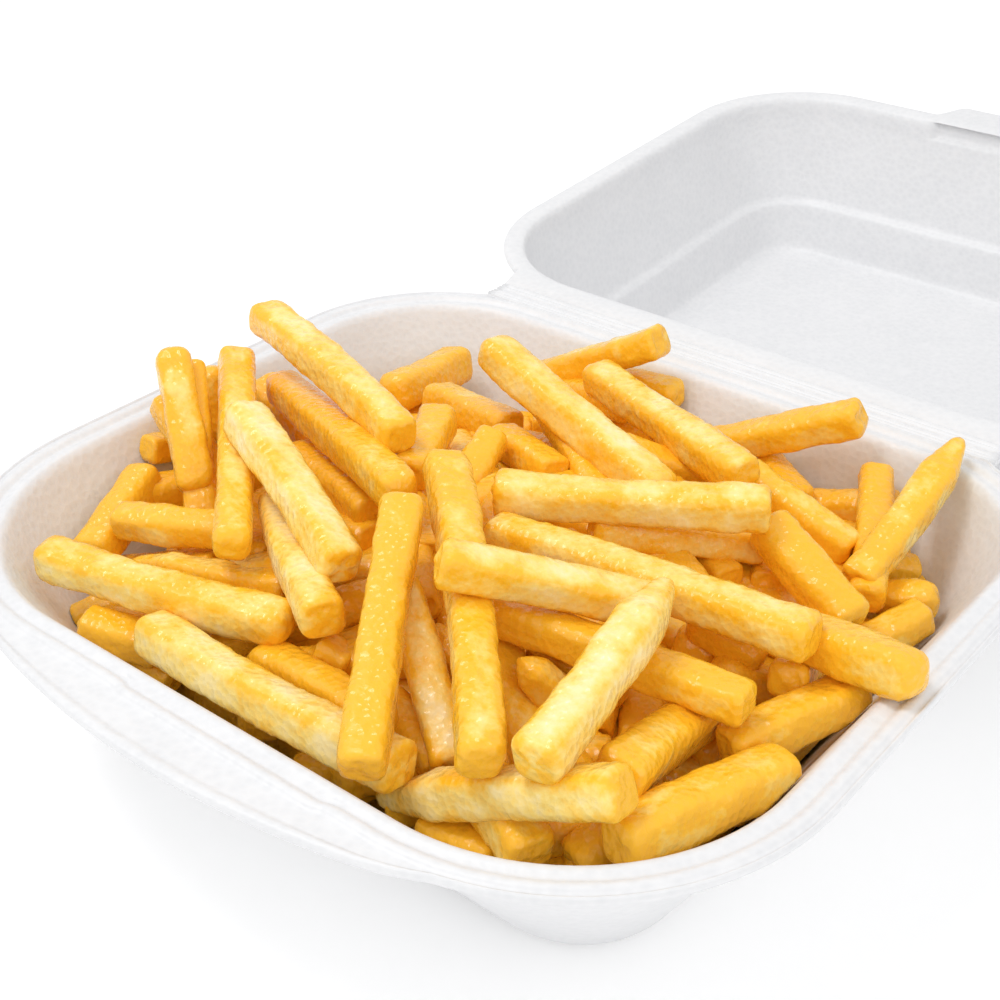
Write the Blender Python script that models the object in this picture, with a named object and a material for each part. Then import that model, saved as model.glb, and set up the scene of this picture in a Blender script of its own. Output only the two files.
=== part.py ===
# French fries heaped in a white foam clamshell box whose lid stands open.
# Lengths in the constants are millimetres; MM turns them into Blender's metres.
# +X runs along the hinge, +Y from the front edge to the hinge, +Z up, and z = 0 is the table.
import math
import random

import bmesh
import bpy
import numpy as np
from mathutils import Matrix, Vector
from mathutils.bvhtree import BVHTree

MM = 0.001
GAP = 0.3

# Tray: half sizes and corner radii of the opening, at the inner edge of its rim
OPEN_X = 100.0
OPEN_Y = 88.3
FRONT_RADIUS = 51.0
BACK_RADIUS = 38.0
RIM_WIDTH = 10.1
RIM_TOP = 58.0
FLOOR_Z = 2.3
RADIUS_TAPER = 1.05
# How much more the front wall leans in than the others, as a share of their inset
FRONT_LEAN = 0.215

# Closing flange along the front rim: how far it stands out, and half its length
FLANGE_DEPTH = 9.8
FLANGE_HALF = 64.0

# Lid: half sizes and corner radius of its opening, rim width, depth of its inner floor
LID_X = 101.4
LID_Y = 88.6
LID_RADIUS = 38.7
LID_RIM = 5.7
LID_RADIUS_TAPER = 1.3
LID_MIN_RADIUS = 12.0

# Lock tab on the lid's free edge
TAB_HALF = 30.0
TAB_DEPTH = 11.0

# Hinge: a straight fold in the foam between the two rims
FOLD_Y = 100.1
FOLD_Z = 58.15
FOLD_HALF = 81.0
WEB_LENGTH = 8.0
LID_TILT = math.radians(4.0)

# Points along each corner and each straight side of an outline
CORNER_STEPS = 9
LONG_SIDE_STEPS = 8
SHORT_SIDE_STEPS = 2

# Profiles from the middle of the inside, over the rim, to the middle of the outside.
# Each station is (distance outside the opening's edge, height above the table).
TRAY_PROFILE = (
    (-33.5, 2.3), (-30.2, 2.9), (-28.3, 5.0), (-15.2, 27.5), (-1.9, 51.5), (-0.4, 54.6),
    (1.0, 56.9), (2.6, 57.6), (4.2, 57.1), (5.0, 57.1), (6.2, 58.0), (9.1, 58.0),
    (10.1, 57.2), (10.1, 56.0), (9.1, 55.3), (3.4, 55.0), (0.9, 51.4), (-12.7, 27.0),
    (-26.5, 3.0), (-28.6, 0.7), (-32.5, 0.0),
)
# The lid's stations are (distance outside its opening, height above the plane of its rim).
LID_PROFILE = (
    (-21.5, -56.6), (-18.6, -55.8), (-17.0, -53.8), (-13.9, -42.2), (-12.4, -40.0), (-10.6, -37.8),
    (-1.0, -5.2), (0.0, -2.8), (1.2, -1.1), (2.6, -0.4), (4.7, -0.4), (5.7, -1.2), (5.7, -2.3),
    (4.7, -3.1), (2.9, -3.5), (1.3, -6.0), (-8.3, -38.6), (-10.3, -41.4), (-11.6, -43.0),
    (-14.9, -55.6), (-17.4, -58.0), (-21.5, -58.8),
)

# Where a picture of the box was seen from: the places of the fries that show are
# named by their points in that picture, in a frame 1000 wide and high.
PICTURE_CENTRE = 500.0
PICTURE_FOCUS = 1597.4
EYE_DISTANCE = 383.0
EYE_AZIMUTH = math.radians(38.8)
EYE_ELEVATION = math.radians(31.7)
LOOK_AT = np.array((-6.3, 9.8, 55.0))
BACK = np.array((math.sin(EYE_AZIMUTH) * math.cos(EYE_ELEVATION),
                 -math.cos(EYE_AZIMUTH) * math.cos(EYE_ELEVATION),
                 math.sin(EYE_ELEVATION)))
RIGHT = np.array((math.cos(EYE_AZIMUTH), math.sin(EYE_AZIMUTH), 0.0))
UP = np.cross(BACK, RIGHT)
EYE = LOOK_AT + EYE_DISTANCE * BACK

# Heap: the lowest fries that show lie on a low mound, higher ones in levels over it
MOUND_EDGE = 35.0
MOUND_HEIGHT = 20.0
LEVEL = 7.0
SINK = 0.6
MOST_PROPS = 60
PROP_SINK = 2.4
CORE_DEPTH = 7.0
CORE_RISE = 7.0
CORE_HALF_X = 75.0
CORE_HALF_Y = 64.0
GRID_X = 7
GRID_Y = 6
SETTLE_ROUNDS = 120
WEIGHT = 0.3
LIFT = 0.15
REST = 4.0
CORE_STRIDE = 2
MERGE = 0.000001
SEED = 8

# One row for each fry that shows: picture point of one end, picture point of the other
# end, thickness, level of each end, and its kind.
FRIES = (
    (171, 348, 197, 492, 9.0, 3.2, 3.2, "round"),
    (212, 366, 214, 440, 7.0, 1.0, 1.0, "round"),
    (238, 354, 233, 550, 9.0, 2.6, 2.6, "round"),
    (118, 520, 240, 532, 8.6, 2.0, 2.0, "cut"),
    (244, 415, 345, 568, 10.0, 4.0, 4.0, "cut"),
    (276, 505, 322, 622, 10.0, 3.0, 3.0, "cut"),
    (148, 474, 92, 556, 10.0, 1.4, 1.4, "cut"),
    (132, 564, 290, 590, 8.6, 1.6, 1.6, "pointed"),
    (38, 556, 290, 628, 9.8, 2.6, 2.6, "round"),
    (84, 622, 160, 650, 8.6, 0.2, 0.2, "cut"),
    (147, 632, 400, 772, 10.2, 2.6, 2.6, "cut"),
    (264, 658, 385, 724, 9.2, 1.6, 1.6, "cut"),
    (385, 700, 442, 768, 8.6, 1.0, 1.0, "cut"),
    (403, 503, 360, 772, 9.4, 4.0, 4.0, "cut"),
    (402, 585, 452, 766, 8.6, 1.6, 1.6, "cut"),
    (449, 462, 486, 764, 9.8, 5.0, 2.8, "cut"),
    (478, 775, 533, 858, 11.0, 1.6, 2.0, "cut"),
    (380, 796, 624, 791, 10.0, 5.4, 5.2, "pointed"),
    (425, 825, 500, 860, 9.0, 0.5, 0.5, "cut"),
    (655, 800, 578, 868, 10.5, 1.4, 1.4, "cut"),
    (670, 582, 535, 765, 10.4, 4.4, 4.4, "pointed"),
    (438, 561, 652, 606, 9.4, 6.2, 3.8, "cut"),
    (492, 532, 815, 638, 10.0, 3.2, 3.2, "cut"),
    (494, 494, 770, 510, 9.6, 4.0, 4.0, "cut"),
    (590, 530, 762, 547, 8.0, 2.0, 2.0, "cut"),
    (487, 345, 665, 498, 10.2, 5.0, 3.4, "round"),
    (662, 341, 530, 382, 9.4, 2.0, 2.0, "cut"),
    (596, 375, 746, 478, 9.6, 3.2, 3.2, "cut"),
    (742, 472, 852, 553, 8.8, 2.6, 2.6, "cut"),
    (862, 417, 712, 446, 9.2, 2.0, 2.0, "cut"),
    (764, 458, 802, 502, 8.0, 1.6, 1.6, "round"),
    (900, 508, 800, 508, 8.6, 1.2, 1.2, "cut"),
    (963, 441, 858, 584, 9.2, 3.4, 3.4, "over corner"),
    (765, 524, 853, 624, 10.4, 3.2, 3.2, "cut"),
    (800, 634, 922, 680, 10.6, 2.0, 3.6, "over rim"),
    (860, 690, 727, 752, 10.0, 2.6, 2.6, "cut"),
    (785, 768, 614, 846, 11.0, 3.2, 3.2, "cut"),
    (715, 703, 612, 780, 10.6, 2.6, 2.6, "cut"),
    (490, 609, 750, 706, 9.0, 3.0, 3.0, "cut"),
    (520, 660, 570, 710, 8.0, 1.8, 1.8, "pointed"),
    (495, 640, 537, 770, 9.4, 1.0, 1.0, "cut"),
    (535, 645, 620, 700, 8.6, 0.8, 0.8, "cut"),
    (690, 615, 766, 658, 8.8, 2.0, 2.0, "round"),
    (675, 640, 730, 665, 8.0, 1.4, 1.4, "cut"),
    (822, 640, 786, 682, 8.6, 2.0, 2.0, "cut"),
    (712, 672, 778, 688, 8.6, 1.4, 1.4, "round"),
    (850, 560, 917, 573, 7.4, 1.0, 1.0, "cut"),
    (872, 598, 938, 602, 8.6, 1.0, 1.0, "round"),
    (868, 646, 926, 614, 8.6, 1.4, 1.4, "cut"),
    (388, 396, 462, 362, 11.0, 1.6, 1.6, "round"),
    (436, 398, 512, 430, 10.0, 1.4, 1.4, "cut"),
    (440, 418, 410, 476, 9.4, 1.8, 1.8, "cut"),
    (493, 438, 460, 490, 8.6, 2.0, 2.0, "cut"),
    (500, 436, 556, 474, 8.6, 1.8, 1.8, "cut"),
    (300, 455, 375, 515, 10.0, 0.6, 0.6, "cut"),
    (262, 385, 330, 455, 10.0, 0.6, 0.6, "cut"),
    (266, 313, 405, 437, 9.6, 2.8, 2.8, "cut"),
    (280, 384, 404, 494, 10.0, 2.8, 2.8, "round"),
    (620, 380, 680, 398, 8.6, 1.2, 1.2, "round"),
    (572, 400, 645, 442, 8.0, 0.8, 0.8, "cut"),
    (618, 450, 716, 482, 8.6, 1.6, 1.6, "cut"),
    (146, 450, 190, 444, 7.4, 0.6, 0.6, "cut"),
    (235, 540, 275, 556, 8.0, 0.8, 0.8, "cut"),
    (410, 480, 420, 610, 9.0, 0.8, 0.8, "cut"),
    (320, 648, 352, 668, 8.0, 0.4, 0.4, "cut"),
    (634, 862, 690, 835, 7.6, 0.8, 0.8, "cut"),
    (535, 835, 590, 822, 8.6, 0.4, 0.4, "cut"),
    (128, 655, 175, 684, 8.0, 0.2, 0.2, "cut"),
)


def remove_all_objects():
    for obj in list(bpy.data.objects):
        bpy.data.objects.remove(obj)


def material(name, colour, roughness):
    mat = bpy.data.materials.new(name)
    mat.use_nodes = True
    shader = mat.node_tree.nodes["Principled BSDF"]
    shader.inputs["Base Color"].default_value = (*colour, 1.0)
    shader.inputs["Roughness"].default_value = roughness
    shader.inputs["Metallic"].default_value = 0.0
    return mat


def outline(half_x, half_y, front_radius, back_radius, front_steps):
    """Points round a rounded rectangle, from the middle of the front side's left end."""
    corners = (
        (-1, -1, front_radius, 180), (1, -1, front_radius, 270),
        (1, 1, back_radius, 0), (-1, 1, back_radius, 90),
    )
    side_steps = (front_steps, SHORT_SIDE_STEPS, LONG_SIDE_STEPS, SHORT_SIDE_STEPS)
    arcs = []
    for sx, sy, radius, start in corners:
        centre = (sx * (half_x - radius), sy * (half_y - radius))
        arc = []
        for step in range(CORNER_STEPS + 1):
            angle = math.radians(start + 90 * step / CORNER_STEPS)
            arc.append((centre[0] + radius * math.cos(angle), centre[1] + radius * math.sin(angle)))
        arcs.append(arc)
    points = []
    for index, arc in enumerate(arcs):
        following = arcs[(index + 1) % 4][0]
        points.extend(arc)
        for step in range(1, side_steps[index]):
            part = step / side_steps[index]
            points.append((arc[-1][0] + part * (following[0] - arc[-1][0]),
                           arc[-1][1] + part * (following[1] - arc[-1][1])))
    return points


def loft(name, rings, mat):
    """Closed solid through rings of equal length, with its first and last ring capped."""
    mesh = bmesh.new()
    rows = [[mesh.verts.new(Vector(point) * MM) for point in ring] for ring in rings]
    for low, high in zip(rows, rows[1:]):
        for index in range(len(low)):
            after = (index + 1) % len(low)
            mesh.faces.new((low[index], low[after], high[after], high[index]))
    mesh.faces.new(rows[0][::-1])
    mesh.faces.new(rows[-1])
    bmesh.ops.recalc_face_normals(mesh, faces=mesh.faces)
    data = bpy.data.meshes.new(name)
    mesh.to_mesh(data)
    mesh.free()
    data.materials.append(mat)
    obj = bpy.data.objects.new(name, data)
    bpy.context.collection.objects.link(obj)
    return obj


def shade(obj, angle=35.0):
    obj.data.shade_smooth()
    obj.data.set_sharp_from_angle(angle=math.radians(angle))


def flange_reach(x):
    """How far the closing flange stands out of the front rim at x."""
    return FLANGE_DEPTH * max(0.0, 1.0 - (x / FLANGE_HALF) ** 2)


def corner_radii(offset):
    """Front and back corner radius of the tray's outline moved outwards by offset."""
    share = 1 + RADIUS_TAPER * np.minimum(offset, 0.0) / FRONT_RADIUS
    growth = np.maximum(offset, 0.0)
    return FRONT_RADIUS * share + growth, BACK_RADIUS * share + growth


def tray_outline(offset):
    """The tray's outline moved outwards by offset, with its front wall's further lean."""
    front, back = corner_radii(offset)
    lean = FRONT_LEAN * min(offset, 0.0)
    points = outline(OPEN_X + offset, OPEN_Y + offset, front, back, LONG_SIDE_STEPS)
    return [(x, y - lean if y < 0 else y) for x, y in points]


def tray_ring(offset, z):
    """One station of the tray, with the front flange and the hinge's half of the web."""
    points = []
    on_edge = offset > 9.0
    for x, y in tray_outline(offset):
        if on_edge and y < -60.0:
            y -= flange_reach(x)
        if on_edge and y > 60.0 and abs(x) < FOLD_HALF:
            y = FOLD_Y - GAP / 2 - (RIM_WIDTH - offset)
        points.append((x, y, z))
    return points


def make_tray(foam):
    tray = loft("tray", [tray_ring(offset, z) for offset, z in TRAY_PROFILE], foam)
    shade(tray)
    return tray


def tab_reach(x):
    """How far the lock tab stands out of the lid's free edge at x, with eased ends."""
    return TAB_DEPTH * min(1.0, max(0.0, (TAB_HALF + 3.0 - abs(x)) / 6.0))


def lid_ring(offset, height):
    """One station of the lid, drawn on its rim's plane with the fold along y = 0."""
    radius = LID_RADIUS + (offset if offset > 0 else LID_RADIUS_TAPER * offset)
    radius = max(radius, LID_MIN_RADIUS)
    centre = WEB_LENGTH + LID_RIM + LID_Y
    on_edge = offset > 4.0
    points = []
    for x, y in outline(LID_X + offset, LID_Y + offset, radius, radius, LONG_SIDE_STEPS):
        if on_edge and y < -60.0 and abs(x) < FOLD_HALF:
            y = -centre + GAP / 2 + (LID_RIM - offset)
        if on_edge and y > 60.0:
            y += tab_reach(x)
        points.append((x, y + centre, height))
    return points


def make_lid(foam):
    """The lid's origin is on the fold, so that it turns about the hinge."""
    lid = loft("lid", [lid_ring(offset, height) for offset, height in LID_PROFILE], foam)
    shade(lid)
    lid.matrix_world = (Matrix.Translation(Vector((0.0, FOLD_Y, FOLD_Z)) * MM)
                        @ Matrix.Rotation(LID_TILT, 4, "X"))
    return lid


def sight_line(px, py):
    """Direction from the eye through a picture point."""
    ray = ((px - PICTURE_CENTRE) * RIGHT - (py - PICTURE_CENTRE) * UP) / PICTURE_FOCUS - BACK
    return ray / np.linalg.norm(ray)


def mound(x, y):
    """Height of the lowest fries that show."""
    across = 1 - np.minimum((x / OPEN_X) ** 2, 1)
    along = 1 - np.minimum((y / OPEN_Y) ** 2, 1)
    return MOUND_EDGE + MOUND_HEIGHT * across * along


def core_top(x, y):
    """Height of the heap's solid core, under all its fries."""
    across = 1 - np.minimum((x / CORE_HALF_X) ** 2, 1)
    along = 1 - np.minimum((y / CORE_HALF_Y) ** 2, 1)
    return mound(x, y) + CORE_RISE * across * along - CORE_DEPTH


def end_on_mound(px, py, lift):
    """Where the sight line through a picture point meets the mound raised by lift."""
    ray = sight_line(px, py)
    reach = np.arange(0.4, 1.7, 0.00125) * EYE_DISTANCE
    points = EYE + reach[:, None] * ray
    below = points[:, 2] <= mound(points[:, 0], points[:, 1]) + lift
    return points[int(np.argmax(below))], -ray


# The inner wall, and the lid's when it is shut, drawn in from the opening by height
WALL_HEIGHTS = (FLOOR_Z, 5.0, 27.5, 51.5, 55.0, 62.0, 96.0)
WALL_INSETS = (30.5, 28.3, 15.2, 1.9, 0.0, 0.5, 12.0)


def outside_wall(x, y, inset):
    """Signed distance outside of the opening's outline drawn in by inset."""
    front, back = corner_radii(-inset)
    radius = np.where(y > 0, back, front)
    beyond_x = np.abs(x) - (OPEN_X - inset) + radius
    lean = np.where(y > 0, 0.0, FRONT_LEAN * np.maximum(inset, 0.0))
    beyond_y = np.abs(y) + lean - (OPEN_Y - inset) + radius
    corner = np.hypot(np.maximum(beyond_x, 0), np.maximum(beyond_y, 0))
    return corner + np.minimum(np.maximum(beyond_x, beyond_y), 0) - radius


def clear_of_tray(point, half, over_rim):
    """True where a fry of this half thickness is clear of the tray's walls and floor."""
    x, y, z = point[..., 0], point[..., 1], point[..., 2]
    inset = np.interp(z, WALL_HEIGHTS, WALL_INSETS)
    inside = outside_wall(x, y, inset) < -half - 0.4
    above = (z - half > RIM_TOP + 0.4) & over_rim
    return (above | inside) & (z - half > FLOOR_Z + 0.4)


SHIFTS = np.array(sorted(np.arange(-90.0, 90.5, 0.5), key=abs))


def shift_clear(point, way, half, over_rim):
    """Shortest move along way that brings a point clear of the tray."""
    tries = point + SHIFTS[:, None] * way
    clear = clear_of_tray(tries, half, over_rim)
    return SHIFTS[int(np.argmax(clear))] * way if clear.any() else 0.0 * way


def closest(p0, p1, q0, q1):
    """For pairs of segments, how far along each one their closest points lie."""
    u, v, w = p1 - p0, q1 - q0, p0 - q0
    uu, uv, vv = (u * u).sum(-1), (u * v).sum(-1), (v * v).sum(-1)
    uw, vw = (u * w).sum(-1), (v * w).sum(-1)
    s = np.clip((uv * vw - vv * uw) / np.maximum(uu * vv - uv * uv, 1e-9), 0, 1)
    t = np.clip((uv * s + vw) / np.maximum(vv, 1e-9), 0, 1)
    s = np.clip((uv * t - uw) / np.maximum(uu, 1e-9), 0, 1)
    return s, t


def every_pair(ends):
    """Each pair of fries, their closest places, and the way from the second to the first."""
    first, second = np.triu_indices(len(ends), 1)
    s, t = closest(ends[first, 0], ends[first, 1], ends[second, 0], ends[second, 1])
    on_first = ends[first, 0] + s[:, None] * (ends[first, 1] - ends[first, 0])
    on_second = ends[second, 0] + t[:, None] * (ends[second, 1] - ends[second, 0])
    return first, second, s, t, on_first - on_second


def hidden_top(x, y):
    """Height that hidden fries start at, before the shown ones push them down."""
    return 2 * (core_top(x, y) + CORE_DEPTH) - mound(x, y)


def hidden_fries(rng):
    """Fries under the ones that show, one in each cell of a grid, on the mound."""
    rows = []
    for column in range(GRID_X):
        for row in range(GRID_Y):
            x = OPEN_X * (2 * (column + rng.uniform(0.2, 0.8)) / GRID_X - 1)
            y = OPEN_Y * (2 * (row + rng.uniform(0.2, 0.8)) / GRID_Y - 1)
            turn = rng.uniform(0, math.pi)
            step = np.array((math.cos(turn), math.sin(turn)))
            reach = rng.uniform(20, 31)
            middle = np.array((x, y)) * (1 - 0.2 * max(abs(x) / OPEN_X, abs(y) / OPEN_Y))
            ends = [middle - reach * step, middle + reach * step]
            ends = [end * min(1.0, inside_share(end)) for end in ends]
            lift = rng.uniform(-4.5, 0.5)
            low, high = [np.array((*end, float(hidden_top(*end)) + lift)) for end in ends]
            rows.append((low, high, rng.uniform(8.4, 10.4)))
    return rows


def inside_share(point):
    """How much of its way from the middle a point can be moved out and stay in the tray."""
    share = 1.0
    while outside_wall(share * point[0], share * point[1], 10.0) > -5.5:
        share -= 0.02
    return share


def lay_out():
    """Starting ends, ways to move, half thickness and kind of every fry."""
    rng = random.Random(SEED)
    ends, ways, half, kinds = [], [], [], []
    for x0, y0, x1, y1, thickness, low, high, kind in FRIES:
        start, start_way = end_on_mound(x0, y0, low * LEVEL)
        stop, stop_way = end_on_mound(x1, y1, high * LEVEL)
        ends.append((start, stop))
        ways.append((start_way, stop_way))
        half.append(thickness / 2)
        kinds.append(kind)
    for start, stop, thickness in hidden_fries(rng):
        ends.append((start, stop))
        ways.append((np.array((0.0, 0.0, 1.0)),) * 2)
        half.append(thickness / 2)
        kinds.append("hidden")
    return np.array(ends), np.array(ways), np.array(half), kinds


def keep_clear(ends, ways, half, kinds):
    """Move each fry along its ways until its ends and middle are clear of the tray."""
    for index, kind in enumerate(kinds):
        over_rim = kind in OVER_KINDS
        for end in (0, 1):
            sunk = float(core_top(*ends[index, end, :2])) + REST - ends[index, end, 2]
            if sunk > 0 and kind != "hidden":
                ends[index, end] += sunk / ways[index, end, 2] * ways[index, end]
            if not clear_of_tray(ends[index, end], half[index], over_rim):
                ends[index, end] += shift_clear(ends[index, end], ways[index, end], half[index], over_rim)
        middle = ends[index].mean(0)
        if not clear_of_tray(middle, half[index] - 0.3, over_rim):
            ends[index] += shift_clear(middle, ways[index].mean(0), half[index] - 0.3, over_rim)


def push_apart(ends, ways, half, kinds):
    """Move crossing fries apart, each along its own ways, the hidden ones most."""
    shown = np.array([kind != "hidden" for kind in kinds])
    first, second, s, t, apart = every_pair(ends)
    distance = np.linalg.norm(apart, axis=1)
    needed = half[first] + half[second] - SINK
    moves = np.zeros((len(ends), 2))
    hits = np.full((len(ends), 2), 1e-9)
    for pair in np.nonzero((distance < needed) & (shown[first] | shown[second]))[0]:
        i, j = first[pair], second[pair]
        way = ways[i].mean(0) if shown[i] else ways[j].mean(0)
        along = apart[pair] @ way / max(distance[pair], 1e-6)
        push = (needed[pair] - distance[pair]) / max(abs(along), 0.5)
        sign = 1.0 if along >= 0 else -1.0
        shares = (0.5, 0.5)
        if shown[i] and not shown[j]:
            sign = 1.0
            shares = (0.4, 0.6)
        for fry, part, move in ((i, s[pair], sign * shares[0]), (j, t[pair], -sign * shares[1])):
            weights = np.array((1 - part, part))
            moves[fry] += np.clip(move * push * weights / (weights @ weights), -3, 3)
            hits[fry] += weights
    ends += 0.7 * (moves / np.sqrt(np.maximum(hits, 1.0)))[:, :, None] * ways


def prop_under(pair, size, rng):
    """One fry laid under another, turned a little, and moved in where it meets the wall."""
    thickness = rng.uniform(8.6, 10.0)
    middle = pair.mean(0) - (0.0, 0.0, size + thickness / 2 - PROP_SINK)
    way = Vector(pair[1] - pair[0]).normalized()
    way.rotate(Matrix.Rotation(rng.uniform(-0.5, 0.5), 3, "Z"))
    reach = np.array((-24.0, 24.0))[:, None] * np.array(way)
    while not clear_of_tray(middle + reach, thickness / 2, False).all() and np.hypot(*middle[:2]) > 20:
        middle = middle * (0.97, 0.97, 1.0)
        reach = reach * (1.0, 1.0, 0.8)
    return middle + reach, thickness


def settled_fries():
    """Ends, thickness and kind of every fry, resting on each other inside the tray."""
    ends, ways, half, kinds = lay_out()
    shown = np.array([kind != "hidden" for kind in kinds])
    heights = ends[:, :, 2].copy()
    for step in range(SETTLE_ROUNDS):
        weight = WEIGHT if step < 0.8 * SETTLE_ROUNDS else 0.0
        ends[shown] -= weight * ways[shown]
        ends[~shown, :, 2] += np.clip(heights[~shown] - ends[~shown, :, 2], 0.0, LIFT)
        keep_clear(ends, ways, half, kinds)
        push_apart(ends, ways, half, kinds)
    keep_clear(ends, ways, half, kinds)
    fries = []
    for index, kind in enumerate(kinds):
        over_rim = kind in OVER_KINDS
        if all(clear_of_tray(ends[index, end], half[index] - 2.0, over_rim) for end in (0, 1)):
            fries.append((ends[index, 0], ends[index, 1], 2 * half[index], kind))
    return fries


def fry_frame(start, stop, turn):
    """Unit vectors across a fry and through its top face, up where the fry lies flat."""
    along = (stop - start) / np.linalg.norm(stop - start)
    top = np.array((0.0, 0.0, 1.0)) if abs(along[2]) < 0.75 else BACK
    across = np.cross(top, along)
    across /= np.linalg.norm(across)
    top = np.cross(along, across)
    cos, sin = math.cos(turn), math.sin(turn)
    return cos * across + sin * top, cos * top - sin * across


# Stations along a fry: part of its length, and the size of its cross-section there
ENDS_BY_KIND = {
    "cut": ((0.0, 0.78), (0.035, 1.0), (0.965, 1.0), (1.0, 0.78)),
    "round": ((0.0, 0.55), (0.07, 0.97), (0.94, 1.0), (1.0, 0.6)),
    "pointed": ((0.0, 0.28), (0.24, 0.92), (0.95, 1.0), (1.0, 0.75)),
    "over rim": ((0.0, 0.7), (0.1, 1.0), (0.85, 0.98), (1.0, 0.6)),
    "over corner": ((0.0, 0.28), (0.24, 0.92), (0.95, 1.0), (1.0, 0.75)),
    "hidden": ((0.0, 0.8), (1.0, 0.8)),
}
OVER_KINDS = ("over rim", "over corner")
BEVEL = 0.62


def pressed_in(point, kind):
    """The point, moved off the tray's wall, rim and floor where it would cross them."""
    x, y, z = point
    z = max(z, FLOOR_Z + 0.5)
    if kind in OVER_KINDS and outside_wall(x, y, 0.0) > -2.5:
        return x, y, max(z, RIM_TOP + 0.4)
    inset = float(np.interp(z, WALL_HEIGHTS, WALL_INSETS))
    beyond = float(outside_wall(x, y, inset)) + 0.6
    eased = beyond + math.log1p(math.exp(-beyond)) if beyond > -4.0 else 0.0
    for move in (eased, 0.0, 0.0):
        beyond = float(outside_wall(x, y, inset)) + 0.6
        move = max(move, beyond, 0.0)
        x, y = np.array((x, y)) * (1 - move / math.hypot(x, y))
    return x, y, z


def fry_rings(start, stop, thickness, kind, turn):
    """Cross-sections of one fry: square ones for a hidden fry, bevelled ones else."""
    across, top = fry_frame(start, stop, turn)
    half = thickness / 2
    if kind == "hidden":
        corners = ((-1, -1), (1, -1), (1, 1), (-1, 1))
    else:
        corners = ((-BEVEL, -1), (BEVEL, -1), (1, -BEVEL), (1, BEVEL),
                   (BEVEL, 1), (-BEVEL, 1), (-1, BEVEL), (-1, -BEVEL))
    rings = []
    for part, size in ENDS_BY_KIND[kind]:
        centre = start + part * (stop - start)
        ring = [centre + half * size * (u * across + v * top) for u, v in corners]
        rings.append([pressed_in(point, kind) for point in ring])
    return rings


def surface(rings):
    """Search tree over the surface of a loft, to find what it touches."""
    count = len(rings[0])
    points = [tuple(point) for ring in rings for point in ring]
    sides = [(row + index, row + (index + 1) % count, row + count + (index + 1) % count, row + count + index)
             for row in range(0, len(points) - count, count) for index in range(count)]
    ends = [tuple(range(count)), tuple(range(len(points) - count, len(points)))]
    return BVHTree.FromPolygons(points, sides + ends)


def touching(tree, others):
    return {index for index, other in enumerate(others) if tree.overlap(other)}


def held_up(links):
    """The pieces that the first one, the core, holds up directly or through others."""
    held, waiting = {0}, [0]
    while waiting:
        for other in links[waiting.pop()] - held:
            held.add(other)
            waiting.append(other)
    return held


def add_props(fries, lofts, rng):
    """Lay fries under shown ones that hang loose, until something holds each of them up."""
    trees = [surface(rings) for rings in lofts]
    links = [touching(tree, trees) for tree in trees]
    needs = {index for index in range(1, len(lofts)) if fries[index - 1][3] != "hidden"}
    for _ in range(MOST_PROPS):
        loose = needs - held_up(links)
        if not loose:
            break
        lowest = min(sorted(loose), key=lambda index: fries[index - 1][0][2] + fries[index - 1][1][2])
        start, stop, thickness, _ = fries[lowest - 1]
        pair, thickness = prop_under(np.array((start, stop)), thickness / 2, rng)
        fries.append((pair[0], pair[1], thickness, "hidden"))
        lofts.append(fry_rings(*fries[-1], 0.0))
        trees.append(surface(lofts[-1]))
        links.append(touching(trees[-1], trees))
        for other in links[-1]:
            links[other].add(len(trees) - 1)
        needs.discard(lowest)
        needs.add(len(trees) - 1)


def core_rings():
    """The heap's inside: the tray's own form, domed on top under the fries that show."""
    heights = (FLOOR_Z + 0.4, 6.0, MOUND_EDGE - CORE_DEPTH - 4.0)
    rings = []
    for height in heights:
        inset = float(np.interp(height, WALL_HEIGHTS, WALL_INSETS)) + 1.2
        ring = tray_outline(-inset)
        rings.append([(x, y, height) for x, y in ring[::CORE_STRIDE]])
    rim = rings[-1]
    for scale in (0.9, 0.66, 0.4, 0.14):
        rings.append([(x * scale, y * scale, float(core_top(x * scale, y * scale)))
                      for x, y, _ in rim])
    return rings


def fuse(core, pieces):
    """Join the pieces to the core by one Boolean union, then remove them."""
    group = bpy.data.collections.new("loose fries")
    bpy.context.scene.collection.children.link(group)
    for piece in pieces:
        bpy.context.collection.objects.unlink(piece)
        group.objects.link(piece)
    union = core.modifiers.new("fuse", "BOOLEAN")
    union.operation = "UNION"
    union.operand_type = "COLLECTION"
    union.collection = group
    union.solver = "EXACT"
    evaluated = core.evaluated_get(bpy.context.evaluated_depsgraph_get())
    fused = bpy.data.meshes.new_from_object(evaluated)
    core.modifiers.remove(union)
    core.data = fused
    for piece in pieces:
        bpy.data.objects.remove(piece)
    bpy.data.collections.remove(group)


def shells(mesh):
    """The separate closed surfaces of a mesh, as lists of faces."""
    unseen = set(mesh.faces)
    found = []
    while unseen:
        stack = [unseen.pop()]
        shell = []
        while stack:
            face = stack.pop()
            shell.append(face)
            for edge in face.edges:
                for other in edge.link_faces:
                    if other in unseen:
                        unseen.remove(other)
                        stack.append(other)
        found.append(shell)
    return found


def keep_outer_shell(obj):
    """Fill the hollows that fusing sealed and drop scraps: the largest shell stays."""
    mesh = bmesh.new()
    mesh.from_mesh(obj.data)
    bmesh.ops.remove_doubles(mesh, verts=mesh.verts, dist=MERGE)
    bmesh.ops.dissolve_degenerate(mesh, dist=MERGE, edges=mesh.edges)
    bmesh.ops.triangulate(mesh, faces=mesh.faces)
    found = sorted(shells(mesh), key=len)
    loose = [face for shell in found[:-1] for face in shell]
    bmesh.ops.delete(mesh, geom=loose, context="FACES")
    mesh.to_mesh(obj.data)
    mesh.free()


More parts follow.
